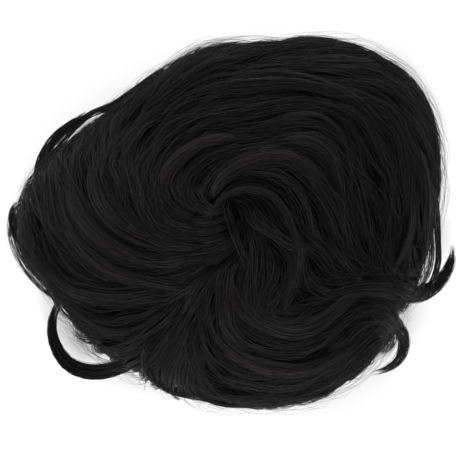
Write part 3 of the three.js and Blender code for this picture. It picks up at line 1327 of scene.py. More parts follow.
@dataclass
class TopLock:
    """Lock that lies on the base along an arc of the map: angles in degrees, sizes in metres."""

    name: str
    style: ClumpStyle
    u: float
    v: float
    first: float
    last: float
    start: float
    end: float
    width: float
    thick: float
    seat: float
    # Whether it takes the lit copy of the hair material, a painted highlight
    painted_highlight: bool
    root_width: float = 0.45
    tip_width: float = 0.3
    widest: float = 0.4
    begin: tuple[float, float] = (-0.14, 0.16)
    finish: tuple[float, float] = (0.9, 1.06)
    fill: float = 0.85
    heap: tuple[float, float] = (0.1, 0.9)
    root_dive: float = 6 * MM
    risen: float = 0.3
    tip_dive: float = 2 * MM
    tip_from: float = 0.75
    samples: int = 40

    def place(self, dome: Dome, t: Array, shift: Array) -> Array:
        """Map place of a point of the lock.

        Args:
            dome: Form that it lies on.
            t: Share of the arc.
            shift: Distance across the arc, in metres.

        Returns:
            Places with two numbers along the last axis.
        """
        angle = np.radians(mix(self.first, self.last, t))
        radius = mix(self.start, self.end, t) + shift / dome.map_unit
        return np.stack([self.u + radius * np.cos(angle), self.v + radius * np.sin(angle)], -1)

    def spread(self, t: Array) -> Array:
        """Share of the full width along the lock."""
        return swell_and_taper(t, self.root_width, self.tip_width, self.widest)

    def guide(self, dome: Dome) -> tuple[Array, Array]:
        """Places and headings along the arc, which lead the flow.

        Args:
            dome: Form that it lies on.

        Returns:
            Places and unit headings, one a row.
        """
        middle = np.zeros_like(GUIDE_SHARES)
        here = self.place(dome, GUIDE_SHARES, middle)
        return here, unit(self.place(dome, GUIDE_SHARES + GUIDE_STEP, middle) - here)

    def clumps(self, shop: Workshop) -> Clumps:
        """Clumps side by side along the arc, rooted in the base hair and drawn together at the tip.

        Args:
            shop: What it is made with.

        Returns:
            The clumps.
        """
        rng, n = shop.rng, self.style.clumps
        begin, finish = rng.uniform(*self.begin, (n, 1)), rng.uniform(*self.finish, (n, 1))
        s = np.linspace(0, 1, self.samples + 1)[None]
        t = mix(begin, finish, s)
        side = self.fill * side_by_side(rng, n)
        height = rng.uniform(*self.heap, (n, 1)) * (1 - side**2)
        spread = self.spread(np.clip(t, 0, 1))
        paths = self.place(shop.dome, t, side * spread * self.width / 2)
        dive = self.root_dive * (1 - smoothstep(s, 0, self.risen))
        dive = dive + self.tip_dive * smoothstep(s, self.tip_from, 1)
        lifts = self.seat + self.thick * height * spread - dive
        return Clumps(paths, lifts, lengths_of(shop.dome.hair(paths, lifts)))

    def build(self, shop: Workshop) -> bpy.types.Object:
        """Makes the lock and says what it stands for.

        Args:
            shop: What it is made with.

        Returns:
            The new piece.
        """
        parts = MeshParts()
        shop.kit.tubes(parts, self.clumps(shop).strands(shop, self.style), shop.rng)
        return shop.finish_piece(parts, f"{self.name}_strands", self.name, self.painted_highlight)


@dataclass(frozen=True)
class LooseLock:
    """Lock that stands free or lies as a wisp: knots of pixel across, pixel down and millimetres up."""

    name: str
    datum: Datum
    knots: tuple[tuple[float, float, float], ...]
    width: float
    depth: float
    clumps: int
    strands: int
    rings: int = 14
    radius: tuple[float, float] = (0.11 * MM, 0.18 * MM)
    root_share: float = 0.7
    tip_share: float = 0.1
    widest: float = 0.45
    wave: float = 0.7 * MM
    wave_share: tuple[float, float] = (0.2, 1.0)
    wave_turns: tuple[float, float] = (5, 9)
    wave_rise: float = 0.6
    begin: float = 0.08
    ragged: float = 0.25
    ragged_clumps: float = 0.6
    fill: float = 0.9
    scatter: float = 0.5
    thin_from: float = 0.5
    thin_tip: float = 0.3
    samples: int = 48

    def middle(self, shop: Workshop) -> Array:
        """Middle line of the lock.

        Args:
            shop: What it is made with.

        Returns:
            Points in the wig's frame.
        """
        line = through(np.array(self.knots, float), self.samples)
        height = line[:, 2] * MM
        if self.datum is Datum.FLOOR:
            return shop.photo.points(shop.dome, line[:, :2], height)
        place = shop.photo.places(shop.dome, line[:, :2], 0.0)
        return shop.dome.hair(place, height)

    def add(self, shop: Workshop, parts: MeshParts) -> None:
        """Adds the lock's strands to a piece.

        Args:
            shop: What it is made with.
            parts: Piece that they go into.
        """
        rng, middle = shop.rng, self.middle(shop)
        along = unit(np.gradient(middle, axis=0))
        up = np.array([0.0, 0.0, 1.0])
        if self.datum is Datum.DOME:
            up = unit(middle - np.array([*shop.dome.axis, HEART_HEIGHT]))
        side = unit(np.cross(along, up))
        top = np.cross(side, along)
        each, strand = (self.clumps, 1, 1), (self.clumps, self.strands, 1)
        uneven = rng.uniform(0, self.ragged_clumps, each) + rng.uniform(0, 1 - self.ragged_clumps, strand)
        s = mix(rng.uniform(0, self.begin, strand), 1 - self.ragged * uneven, np.linspace(0, 1, self.rings))
        low, f = steps(s, self.samples)
        gather = swell_and_taper(s, self.root_share, self.tip_share, self.widest)
        across = (np.arange(self.clumps).reshape(each) + 0.5) / self.clumps * 2 - 1
        across = across * self.fill + rng.normal(0, self.scatter / self.clumps, strand)
        phase = rng.uniform(0, 2 * math.pi, strand)
        wave = self.wave * rng.uniform(*self.wave_share, strand)
        wave = wave * np.sin(rng.uniform(*self.wave_turns, strand) * s + phase)
        shift = self.width / 2 * gather * across + wave
        rise = self.depth / 2 * gather * rng.uniform(-1, 1, strand) + self.wave_rise * wave
        points = mix(middle[low], middle[low + 1], f[..., None])
        points = points + side[low] * shift[..., None] + top[low] * rise[..., None]
        points[..., 2] = np.maximum(points[..., 2], shop.dome.floor_gap)
        thin = mix(1.0, self.thin_tip, smoothstep(s, self.thin_from, 1.0))
        thick = rng.uniform(*self.radius, strand) * thin
        tone = (rng.uniform(*CLUMP_TONE, each) + rng.normal(0, STRAND_TONE, strand)).reshape(-1)
        shop.kit.tubes(
            parts, Strands(points.reshape(-1, self.rings, 3), thick.reshape(-1, self.rings), tone), rng
        )

    def build(self, shop: Workshop) -> bpy.types.Object:
        """Makes the lock as a piece that stands for the CAD node of its name.

        Args:
            shop: What it is made with.

        Returns:
            The new piece.
        """
        parts = MeshParts()
        self.add(shop, parts)
        return shop.finish_piece(parts, f"{self.name}_strands", self.name)


@dataclass(frozen=True)
class ThinSpot:
    """Spot where streams part and short hair fills in: its pixel, spread in pixels and clumps."""

    across: float
    down: float
    spread: float
    clumps: int


@dataclass
class FillHair:
    """Short hair round spots where streams part, with wisps over it: a piece, or a share of one."""

    style: ClumpStyle
    spots: tuple[ThinSpot, ...]
    wisps: list[LooseLock] = field(default_factory=list)
    name: str = "parting_strands"
    stray: float = math.radians(6)
    root_depth: float = 2.5 * MM
    lift: float = 2 * MM
    risen: float = 0.4
    lift_spread: tuple[float, float] = (-1 * MM, 1.5 * MM)
    samples: int = 24

    def add(self, shop: Workshop, flow: Flow, parts: MeshParts) -> None:
        """Adds the hair to a piece.

        Args:
            shop: What it is made with.
            flow: Lie of the hair.
            parts: Piece that it goes into.
        """
        rng = shop.rng
        pixels = [rng.normal((spot.across, spot.down), spot.spread, (spot.clumps, 2)) for spot in self.spots]
        start = shop.photo.places(shop.dome, np.concatenate(pixels), 0.0)
        n = len(start)
        length = rng.uniform(*self.style.length, n)
        stray = rng.normal(0, self.stray, n)
        paths = flow.follow(start, length / self.samples / shop.dome.map_unit, self.samples, stray)
        s = np.linspace(0, 1, self.samples + 1)[None]
        lifts = mix(-self.root_depth, self.lift, smoothstep(s, 0, self.risen))
        lifts = lifts + rng.uniform(*self.lift_spread, (n, 1))
        shop.kit.tubes(parts, Clumps(paths, lifts, length).strands(shop, self.style), rng)
        for wisp in self.wisps:
            wisp.add(shop, parts)

    def build(self, shop: Workshop, flow: Flow) -> bpy.types.Object:
        """Makes the hair as a piece of its own.

        Args:
            shop: What it is made with.
            flow: Lie of the hair.

        Returns:
            The new piece.
        """
        parts = MeshParts()
        self.add(shop, flow, parts)
        return shop.finish_piece(parts, self.name)


@dataclass
class WhorlTuft:
    """Short hair in the ring of the whorl, on a small patch of under-hair that is dark with painted shade."""

    hair: FillHair
    name: str = "whorl_tuft"
    seat: float = 0.8 * MM
    sink: float = 12 * MM
    corners: int = 9

    def build(self, shop: Workshop, flow: Flow) -> bpy.types.Object:
        """Makes the tuft and says what it stands for.

        Args:
            shop: What it is made with.
            flow: Lie of the hair.

        Returns:
            The new piece.
        """
        parts = MeshParts()
        self.hair.add(shop, flow, parts)
        across = np.linspace(-1, 1, self.corners)
        a, b = np.meshgrid(across, across, indexing="ij")
        disc = np.stack([a * np.sqrt(1 - b * b / 2), b * np.sqrt(1 - a * a / 2)], -1)
        place = np.array(shop.whorl.centre) + shop.whorl.ring * disc
        outer = shop.dome.points(place, np.full(a.shape, -self.sink))
        closed_grid(parts, outer, shop.cap.points(place, self.seat), 1)
        return shop.finish_piece(parts, f"{self.name}_strands", self.name)


@dataclass
class Flyaways:
    """Single fine hairs that stray from the lie of the hair, more of them along the rim."""

    name: str = "flyaway_strands"
    count: int = 850
    rim_share: float = 0.3
    rings: int = 7
    length: tuple[float, float] = (35 * MM, 90 * MM)
    rise: tuple[float, float] = (1 * MM, 7 * MM)
    radius: tuple[float, float] = (0.06 * MM, 0.1 * MM)
    inner_gain: float = 1.45
    stray: float = math.radians(13)
    rim_band: tuple[float, float] = (0.62, 0.84)
    band: tuple[float, float] = (0.08, 0.95)
    band_power: float = 0.7
    sway: float = 9 * MM
    edge: float = 0.99
    lift: float = 3 * MM
    rim_lift: float = 1 * MM
    arch: tuple[float, float] = (0.1, 0.75)
    thin_tip: float = 0.4

    def build(self, shop: Workshop, flow: Flow) -> bpy.types.Object:
        """Makes the hairs as one piece.

        Args:
            shop: What it is made with.
            flow: Lie of the hair.

        Returns:
            The new piece.
        """
        rng, n, unit_length = shop.rng, self.count, shop.dome.map_unit
        at_rim = rng.uniform(0, 1, n) < self.rim_share
        edge, inside = rng.uniform(*self.rim_band, n), rng.uniform(*self.band, n) ** self.band_power
        ring = np.where(at_rim, edge, inside)
        turn = rng.uniform(0, 2 * math.pi, n)
        start = ring[:, None] * np.stack([np.cos(turn), np.sin(turn)], -1)
        steps_each = self.rings - 1
        stray = rng.normal(0, self.stray, n)
        step = rng.uniform(*self.length, n) / steps_each / unit_length
        paths = flow.follow(start, step, steps_each, stray)
        s = np.linspace(0, 1, self.rings)[None]
        side = aside(unit(paths[:, -1] - paths[:, 0]))
        sway = rng.normal(0, self.sway, (n, 1)) * s**2 / unit_length
        paths = paths + side[:, None] * sway[..., None]
        far = np.linalg.norm(paths, axis=-1, keepdims=True)
        paths = paths * np.minimum(1.0, self.edge / np.maximum(far, 1e-6))
        rise = rng.uniform(*self.rise, (n, 1)) + np.where(at_rim, self.rim_lift, 0)[:, None]
        lifts = self.lift + rise * np.sin(math.pi * mix(*self.arch, s))
        thick = rng.uniform(*self.radius, (n, 1)) * mix(1.0, self.thin_tip, s)
        thick = thick * np.where(at_rim, 1.0, self.inner_gain)[:, None]
        parts = MeshParts()
        shop.kit.tubes(parts, Strands(shop.dome.hair(paths, lifts), thick, rng.uniform(0, 1, n)), rng)
        # Painted highlight: the flyaways take the lit copy of the hair material
        return shop.finish_piece(parts, self.name, painted_highlight=True)


@dataclass
class Cap:
    """Knitted cap under the hair, a smooth wall that is open below."""

    name: str = "cap"
    around: int = 96
    down: int = 28

    def build(self, shop: Workshop) -> bpy.types.Object:
        """Makes the cap and says what it stands for.

        Args:
            shop: What it is made with.

        Returns:
            The new piece.
        """
        form = shop.cap
        ring = np.linspace(0, 1, self.down + 1)[1:]
        turn = np.arange(self.around) / self.around * 2 * math.pi
        place = ring[:, None, None] * np.stack([np.cos(turn), np.sin(turn)], -1)[None]
        top = np.zeros((1, 2))
        corners = np.concatenate([
            form.points(place, 0.0).reshape(-1, 3),
            form.points(place, -form.wall).reshape(-1, 3),
            form.points(top, 0.0),
            form.points(top, -form.wall),
        ])
        layer = self.down * self.around
        number = np.arange(layer).reshape(self.down, self.around)
        after = np.roll(number, -1, axis=1)
        outside = np.stack([number[:-1], number[1:], after[1:], after[:-1]], -1).reshape(-1, 4)
        inside = outside[:, ::-1] + layer
        rim = np.stack([number[-1], number[-1] + layer, after[-1] + layer, after[-1]], -1)
        u, v = np.meshgrid(np.arange(self.around) / self.around, ring)
        flat = np.stack([u, v], -1).reshape(-1, 2)
        flat = np.concatenate([flat, flat])
        faces = np.concatenate([outside, inside, rim])
        uvs = flat[faces]
        wraps = np.ptp(uvs[..., 0], axis=1) > 0.5
        uvs[wraps, :, 0] = np.where(uvs[wraps, :, 0] < 0.5, uvs[wraps, :, 0] + 1, uvs[wraps, :, 0])
        parts = MeshParts()
        parts.add(corners, faces, uvs, 0)

        tips = np.stack([np.full(self.around, 2 * layer), number[0], after[0]], -1)
        inner_tips = np.stack([np.full(self.around, 2 * layer + 1), after[0] + layer, number[0] + layer], -1)
        low = np.tile(np.arange(self.around) / self.around, 2)
        high, edge = low + 1 / self.around, np.full_like(low, ring[0])
        fan = np.stack([low, np.zeros_like(low), low, edge, high, edge], -1)
        parts.add_faces(np.concatenate([tips, inner_tips]), fan, 0)
        piece = parts.build(f"{self.name}_shell", [shop.finishes.net])
        return shop.register(piece, self.name, parts.triangles())


@dataclass(frozen=True)
class SoftLight:
    """Square soft light: its name, its place and side in metres, and its power in watts."""

    name: str
    place: tuple[float, float, float]
    side: float
    power: float


@dataclass
class Studio:
    """Pale floor, soft lights, and a camera that looks straight down as the photograph does."""

    photo: PhotoFrame
    axis: tuple[float, float]
    sensor: float = 36.0
    floor_half: float = 4.0
    floor_colour: tuple[float, float, float] = (0.9, 0.9, 0.9)
    floor_rough: float = 0.9
    floor_specular: float = 0.1
    world_strength: float = 0.55
    aim: tuple[float, float, float] = (0.0, 0.0, 0.06)
    lights: tuple[SoftLight, ...] = (
        SoftLight("soft_left", (-1.4, 0.5, 0.9), 1.2, 20),
        SoftLight("soft_back", (0.3, 1.5, 0.9), 1.2, 25),
        SoftLight("soft_front", (0.1, -1.5, 1.1), 1.2, 36),
        SoftLight("soft_right", (1.5, 0.1, 0.5), 1.0, 5),
    )

    def build_floor(self) -> None:
        """Makes the floor."""
        half = self.floor_half
        corners = [(-half, -half, 0), (half, -half, 0), (half, half, 0), (-half, half, 0)]
        mesh = bpy.data.meshes.new("floor")
        mesh.from_pydata(corners, [], [(0, 1, 2, 3)])
        material = bpy.data.materials.new("pale_floor")
        material.use_nodes = True
        shader = material.node_tree.nodes["Principled BSDF"]
        shader.inputs["Base Color"].default_value = (*self.floor_colour, 1)
        shader.inputs["Roughness"].default_value = self.floor_rough
        shader.inputs["Specular IOR Level"].default_value = self.floor_specular
        mesh.materials.append(material)
        floor = bpy.data.objects.new("floor", mesh)
        bpy.context.scene.collection.objects.link(floor)

    def add_light(self, given: SoftLight) -> None:
        """Adds a light that faces the wig.

        Args:
            given: The light.
        """
        light = bpy.data.lights.new(given.name, "AREA")
        light.shape = "SQUARE"
        light.size = given.side
        light.energy = given.power
        lamp = bpy.data.objects.new(given.name, light)
        lamp.location = given.place
        away = np.array(given.place) - np.array(self.aim)
        yaw = math.atan2(away[1], away[0])
        tilt = math.atan2(math.hypot(away[0], away[1]), away[2])
        lamp.rotation_euler = (0, tilt, yaw)
        bpy.context.scene.collection.objects.link(lamp)

    def build_light(self) -> None:
        """Makes the world and the lights."""
        scene = bpy.context.scene
        world = bpy.data.worlds.new("studio")
        world.use_nodes = True
        background = world.node_tree.nodes["Background"]
        background.inputs["Color"].default_value = (1, 1, 1, 1)
        background.inputs["Strength"].default_value = self.world_strength
        scene.world = world
        for light in self.lights:
            self.add_light(light)
        scene.view_settings.view_transform = "Standard"

    def build_camera(self) -> None:
        """Makes the camera, with the photograph's framing."""
        scene, photo = bpy.context.scene, self.photo
        camera = bpy.data.cameras.new("camera")
        camera.sensor_width = self.sensor
        camera.lens = self.sensor * (photo.eye_height - photo.focus_height) / (photo.side * photo.pixel)
        eye = bpy.data.objects.new("camera", camera)
        x, y = photo.flat(np.array([photo.side / 2, photo.side / 2])) + np.array(self.axis)
        eye.location = (x, y, photo.eye_height)
        scene.collection.objects.link(eye)
        scene.camera = eye


def top_locks() -> list[TopLock]:
    """Locks that lie on the base.

    Returns:
        The locks, in the order of the CAD nodes.
    """
    curl = ClumpStyle(
        clumps=11, strands=13, rings=9, half_width=(1.4 * MM, 3.0 * MM), depth=1.0 * MM,
        wave=(0.2 * MM, 0.9 * MM), finish=(0.85, 1.0),
    )
    fan = replace(curl, half_width=(2 * MM, 4.5 * MM), begin=(0.1, 0.4))
    edge = ClumpStyle(
        clumps=11, strands=13, rings=9, half_width=(1.6 * MM, 3.6 * MM), depth=1.4 * MM,
        wave=(0.3 * MM, 1.4 * MM), finish=(0.62, 1.0),
    )
    edge_seat, seat = -1.5 * MM, 2.5 * MM
    # Name, style, centre of the arc, first and last angle, first and last radius, width and thickness
    rows = (
        ("crown_curl_1", curl, -0.02, 0.01, 124, 3, 0.06, 0.27, 17, 8),
        ("crown_curl_2", curl, -0.1, 0.07, 167, 48, 0.08, 0.23, 13, 6),
        ("crown_curl_3", curl, 0.09, 0.07, 84, 0, 0.13, 0.2, 10, 5),
        ("sweep_lock", curl, -0.21, -0.1, 92, 25, 0.55, 0.72, 15, 6),
        ("side_curl_1", curl, 0.27, -0.1, -167, -38, 0.29, 0.14, 17, 7),
        ("side_curl_2", curl, 0.1, -0.15, -134, -24, 0.24, 0.44, 15, 6),
        ("fan_lock_1", fan, 0.06, 0.3, -110, -173, 0.39, 0.52, 12, 5),
        ("fan_lock_2", fan, 0.02, 0.3, -105, -170, 0.44, 0.55, 12, 5),
        ("fan_lock_3", fan, 0.02, 0.15, -107, -178, 0.36, 0.54, 12, 5),
        ("edge_lock_1", edge, 0, 0, 176, 112, 0.65, 0.97, 22, 7),
        ("edge_lock_2", edge, 0, 0, 136, 66, 0.65, 0.97, 24, 7),
        ("edge_lock_3", edge, 0, 0, 96, 30, 0.65, 0.97, 24, 7),
        ("edge_lock_4", edge, 0, 0, 62, 1, 0.65, 0.97, 24, 7),
        ("edge_lock_5", edge, 0, 0, 28, -18, 0.66, 0.95, 22, 7),
        ("edge_lock_6", edge, 0, 0, 182, 208, 0.72, 0.9, 20, 8),
        ("edge_lock_7", edge, 0, 0, 246, 300, 0.66, 0.96, 22, 6),
        ("edge_lock_8", edge, 0, 0, 277, 321, 0.65, 0.93, 22, 6),
    )
    locks = []
    for name, style, *arc, width, thick in rows:
        lock_seat = edge_seat if style is edge else seat
        # Curls take the lit copy of the hair material, a painted highlight
        locks.append(TopLock(name, style, *arc, width * MM, thick * MM, lock_seat, "curl" in name))
    return locks


def base_locks(shop: Workshop, clumps: int = 660) -> list[BaseLock]:
    """Locks side by side round the wig.

    Args:
        shop: What they are made with.
        clumps: Number of clumps in all, shared out by the hair rooted in each lock.

    Returns:
        The locks, numbered as the CAD nodes are.
    """
    style = ClumpStyle(
        clumps=0, strands=16, rings=9, half_width=(3.5 * MM, 9 * MM), depth=1.8 * MM,
        radius=(0.11 * MM, 0.185 * MM), frizz=1.1 * MM, drift=2.4 * MM, wave=(0.4 * MM, 2.2 * MM),
    )
    fringe = ClumpStyle(
        clumps=11, strands=13, rings=6, half_width=(3 * MM, 6 * MM), radius=(0.14 * MM, 0.22 * MM),
        frizz=0.7 * MM,
    )
    first = BORDERS[0]
    closing = Border(first.place, first.root + 360, first.hem + 360)
    counts = {place: 0 for place in Place}
    locks = []
    for border, after in zip(BORDERS, (*BORDERS[1:], closing)):
        counts[border.place] += 1
        name = f"{border.place.value}_lock_{counts[border.place]}"
        locks.append(BaseLock(name, border, after, style, Fringe(fringe)))
    hair = np.array([lock.roots(shop)[1].sum() for lock in locks])
    for lock, count in zip(locks, np.rint(clumps * hair / hair.sum())):
        lock.style = replace(style, clumps=int(count))
    return locks


def free_curls() -> list[LooseLock]:
    """Curls that stand free of the outline, each with a CAD node of its own.

    Returns:
        The curls.
    """
    loop = (
        (162, 338, 40), (147, 352, 32), (129, 363, 26), (110, 370, 22), (91, 372, 20), (71, 366, 19),
        (58, 351, 18), (52, 332, 18), (54, 312, 18), (64, 294, 18),
    )
    hook = (
        (384, 291, 36), (402, 294, 30), (420, 294, 25), (436, 285, 22), (447, 271, 20), (452, 256, 20),
        (453, 244, 20),
    )
    temple = (
        (366, 307, 38), (386, 313, 32), (399, 327, 27), (404, 343, 22), (399, 359, 20), (386, 369, 19),
        (367, 373, 18),
    )
    return [
        LooseLock(
            "loop_curl", Datum.FLOOR, loop, width=10.5 * MM, depth=11 * MM, clumps=12, strands=20, rings=13,
            radius=(0.16 * MM, 0.24 * MM), tip_share=0.4,
        ),
        LooseLock(
            "hook_curl", Datum.FLOOR, hook, width=10.5 * MM, depth=9 * MM, clumps=11, strands=16, rings=12,
            widest=0.3, tip_share=0.25, wave=1.2 * MM,
        ),
        LooseLock(
            "temple_curl", Datum.FLOOR, temple, width=9 * MM, depth=8 * MM, clumps=9, strands=14, rings=12,
            widest=0.4, tip_share=0.4,
        ),
    ]


def whorl_wisps() -> list[LooseLock]:
    """Short wisps that leave the left side of the eye and fan out over the whorl.

    Returns:
        The wisps.
    """
    lines = (
        ((228, 207, 0), (215, 211, 3.5), (203, 206, 4.5), (195, 193, 4), (192, 178, 2.5)),
        ((229, 214, 0), (214, 220, 3.5), (199, 219, 4.5), (185, 209, 3)),
        ((231, 223, 0), (216, 228, 3.5), (200, 229, 4.5), (184, 222, 3)),
        ((234, 233, 0), (220, 240, 3.5), (203, 243, 4.5), (185, 240, 3)),
        ((239, 245, 0), (225, 252, 3), (209, 258, 3), (191, 259, 1.5)),
    )
    wisp = LooseLock(
        "whorl", Datum.DOME, (), width=10 * MM, depth=2 * MM, clumps=6, strands=8, rings=10,
        root_share=0.5, tip_share=0.9, widest=0.6, ragged=0.5,
    )
    return [replace(wisp, knots=line) for line in lines]


def low_fans() -> list[LooseLock]:
    """Wisps that spread over the low left edge, where one stream turns back and the next turns forward.

    Returns:
        The wisps.
    """
    lines = (
        ((190, 312, 0), (177, 333, 3), (163, 350, 3), (150, 361, 2)),
        ((190, 322, 0), (179, 343, 3), (166, 361, 3), (154, 374, 2)),
        ((192, 334, 0), (181, 355, 3), (172, 375, 3), (172, 392, 2)),
        ((196, 340, 0), (188, 362, 3), (187, 381, 3), (198, 396, 2)),
        ((202, 344, 0), (197, 365, 3), (202, 382, 3), (222, 396, 2)),
    )
    drops = (
        ((184, 342, 98), (170, 359, 88), (159, 369, 66), (154, 373, 44), (155, 376, 30)),
        ((187, 349, 97), (176, 366, 84), (168, 377, 62), (165, 383, 42), (167, 386, 28)),
        ((191, 354, 95), (184, 373, 80), (180, 384, 58), (181, 390, 40), (187, 393, 26)),
    )
    loose = LooseLock(
        "low_fan", Datum.DOME, (), width=13 * MM, depth=3 * MM, clumps=6, strands=8, rings=9,
        root_share=0.5, tip_share=0.9, ragged=0.4,
    )
    heavy = replace(
        loose, datum=Datum.FLOOR, width=16 * MM, strands=13, radius=(0.18 * MM, 0.28 * MM), ragged=0.25
    )
    return [
        *(replace(loose, knots=line) for line in lines),
        *(replace(heavy, knots=line) for line in drops),
    ]


def crown_wisps() -> list[LooseLock]:
    """Wisps that curl round the dark eye beside the whorl, and over the streams that meet on the right.

    Returns:
        The wisps.
    """
    ring = (
        (203, 232, 3), (212, 212, 4), (227, 196, 6), (247, 191, 8), (270, 197, 9), (283, 214, 9),
        (291, 233, 8), (297, 251, 8), (296, 268, 6), (290, 283, 5), (282, 293, 4), (264, 300, 3),
    )
    wall = ((226, 199, 2), (228, 214, 5), (232, 230, 6), (240, 249, 7), (248, 267, 6), (251, 284, 4))
    inside = (
        (246, 204, 0), (251, 219, 4), (260, 228, 6), (274, 236, 6), (288, 244, 6), (305, 248, 5),
        (321, 243, 3),
    )
    low_end = ((285, 331, 1), (305, 325, 4), (325, 311, 6), (343, 295, 6), (354, 283, 5), (360, 273, 3))
    right_in = ((410, 190, 1), (407, 215, 4), (402, 238, 5), (393, 262, 4), (385, 281, 2))
    right_edge = ((420, 150, 1), (425, 188, 3), (424, 226, 3), (419, 256, 3), (408, 280, 2))
    arcs = (
        ((165, 108, 0), (200, 86, 3), (250, 78, 4), (300, 80, 4), (345, 95, 4), (375, 120, 3), (395, 155, 1)),
        (
            (262, 124, 0), (290, 117, 3), (318, 118, 4), (337, 135, 4), (346, 160, 4), (349, 185, 3),
            (348, 207, 1),
        ),
        ((222, 283, 0), (221, 305, 3), (224, 325, 4), (236, 341, 4), (252, 351, 3), (275, 357, 1)),
    )
    thin = LooseLock(
        "arc", Datum.DOME, (), width=3.5 * MM, depth=2 * MM, clumps=3, strands=4, rings=16, tip_share=0.9,
        wave=1.0 * MM,
    )
    full = LooseLock(
        "right_edge", Datum.DOME, right_edge, width=10 * MM, depth=3 * MM, clumps=6, strands=9, rings=12,
        tip_share=0.5,
    )
    fine = LooseLock(
        "ring", Datum.DOME, ring, width=5 * MM, depth=3 * MM, clumps=3, strands=4, rings=20, tip_share=0.8
    )
    wavy = replace(fine, rings=14, wave=1.2 * MM)
    return [
        *(replace(thin, knots=arc) for arc in arcs),
        full,
        fine,
        replace(wavy, name="wall", knots=wall, width=6 * MM, strands=3),
        replace(wavy, name="inside", knots=inside, width=8 * MM, strands=5, tip_share=0.5),
        replace(full, name="low_end", knots=low_end, width=13 * MM, tip_share=0.6),
        replace(full, name="right_in", knots=right_in, width=9 * MM, clumps=5, strands=8),
    ]


def rim_wisps() -> list[LooseLock]:
    """Wisps along the outline that stand off the locks behind them.

    Returns:
        The wisps.
    """
    left = ((74, 306, 24), (47, 286, 26), (25, 260, 28), (15, 236, 30), (15, 215, 31), (27, 198, 33))
    left_bump = ((41, 268, 29), (26, 246, 30), (18, 228, 31), (16, 212, 32), (24, 201, 33))
    right = ((428, 165, 46), (436, 205, 42), (438, 238, 36), (438, 262, 32), (432, 282, 28), (421, 298, 25))
    hook_root = (
        (330, 299, 104), (348, 292, 103), (368, 289, 97), (388, 290, 85), (403, 294, 65), (416, 297, 46),
        (428, 292, 33), (438, 284, 27),
    )
    right_behind = (
        (424, 180, 47), (430, 215, 42), (432, 245, 36), (430, 268, 32), (421, 287, 28), (409, 300, 25),
    )
    left_top = ((38, 200, 38), (41, 168, 41), (51, 148, 43), (64, 133, 44), (79, 121, 45), (93, 112, 46))
    top_left = ((68, 130, 43), (93, 113, 45), (114, 105, 46), (133, 92, 47), (158, 73, 47), (185, 56, 48))
    temple = ((362, 312, 34), (380, 321, 29), (393, 335, 25), (389, 349, 23), (375, 354, 23))
    low_left = (
        (158, 322, 88), (149, 340, 87), (145, 357, 82), (147, 369, 73), (154, 378, 62), (163, 385, 54),
        (172, 390, 50), (185, 394, 47), (200, 397, 45), (215, 400, 44), (232, 402, 42),
    )
    thick = (0.16 * MM, 0.26 * MM)
    wide = LooseLock(
        "left_top", Datum.FLOOR, left_top, width=11 * MM, depth=10 * MM, clumps=8, strands=15, rings=12,
        radius=thick, tip_share=0.5,
    )
    fine = LooseLock(
        "right_behind", Datum.FLOOR, right_behind, width=3.5 * MM, depth=7 * MM, clumps=3, strands=8,
        rings=12, tip_share=0.7, ragged=0.15,
    )
    return [
        replace(
            wide, name="left", knots=left, width=12 * MM, depth=9 * MM, strands=8,
            radius=(0.13 * MM, 0.21 * MM), tip_share=0.6, wave=1.2 * MM,
        ),
        replace(wide, name="left_bump", knots=left_bump, clumps=7, strands=12, rings=10, tip_share=0.8),
        replace(
            fine, name="right", knots=right, width=4.5 * MM, depth=8 * MM, clumps=4, strands=11, radius=thick
        ),
        LooseLock(
            "hook_root", Datum.FLOOR, hook_root, width=11 * MM, depth=3 * MM, clumps=6, strands=10, rings=14,
            tip_share=0.5,
        ),
        fine,
        wide,
        replace(wide, name="top_left", knots=top_left, width=5 * MM, depth=9 * MM, clumps=4, strands=14),
        LooseLock(
            "temple", Datum.FLOOR, temple, width=6 * MM, depth=6 * MM, clumps=4, strands=8, tip_share=0.3
        ),
        replace(
            wide, name="low_left", knots=low_left, width=6 * MM, depth=8 * MM, clumps=5, strands=14, rings=16,
            tip_share=0.6,
        ),
    ]


def build_wisps(shop: Workshop, name: str, wisps: list[LooseLock], painted_highlight: bool) -> bpy.types.Object:
    """Makes wisps as one piece.

    Args:
        shop: What it is made with.
        name: Name of the piece.
        wisps: The wisps.
        painted_highlight: Whether they take the lit copy of the hair material, whose lighter colour is painted
            highlight and whose gloss is stronger.

    Returns:
        The new piece.
    """
    parts = MeshParts()
    for wisp in wisps:
        wisp.add(shop, parts)
    return shop.finish_piece(parts, name, painted_highlight=painted_highlight)


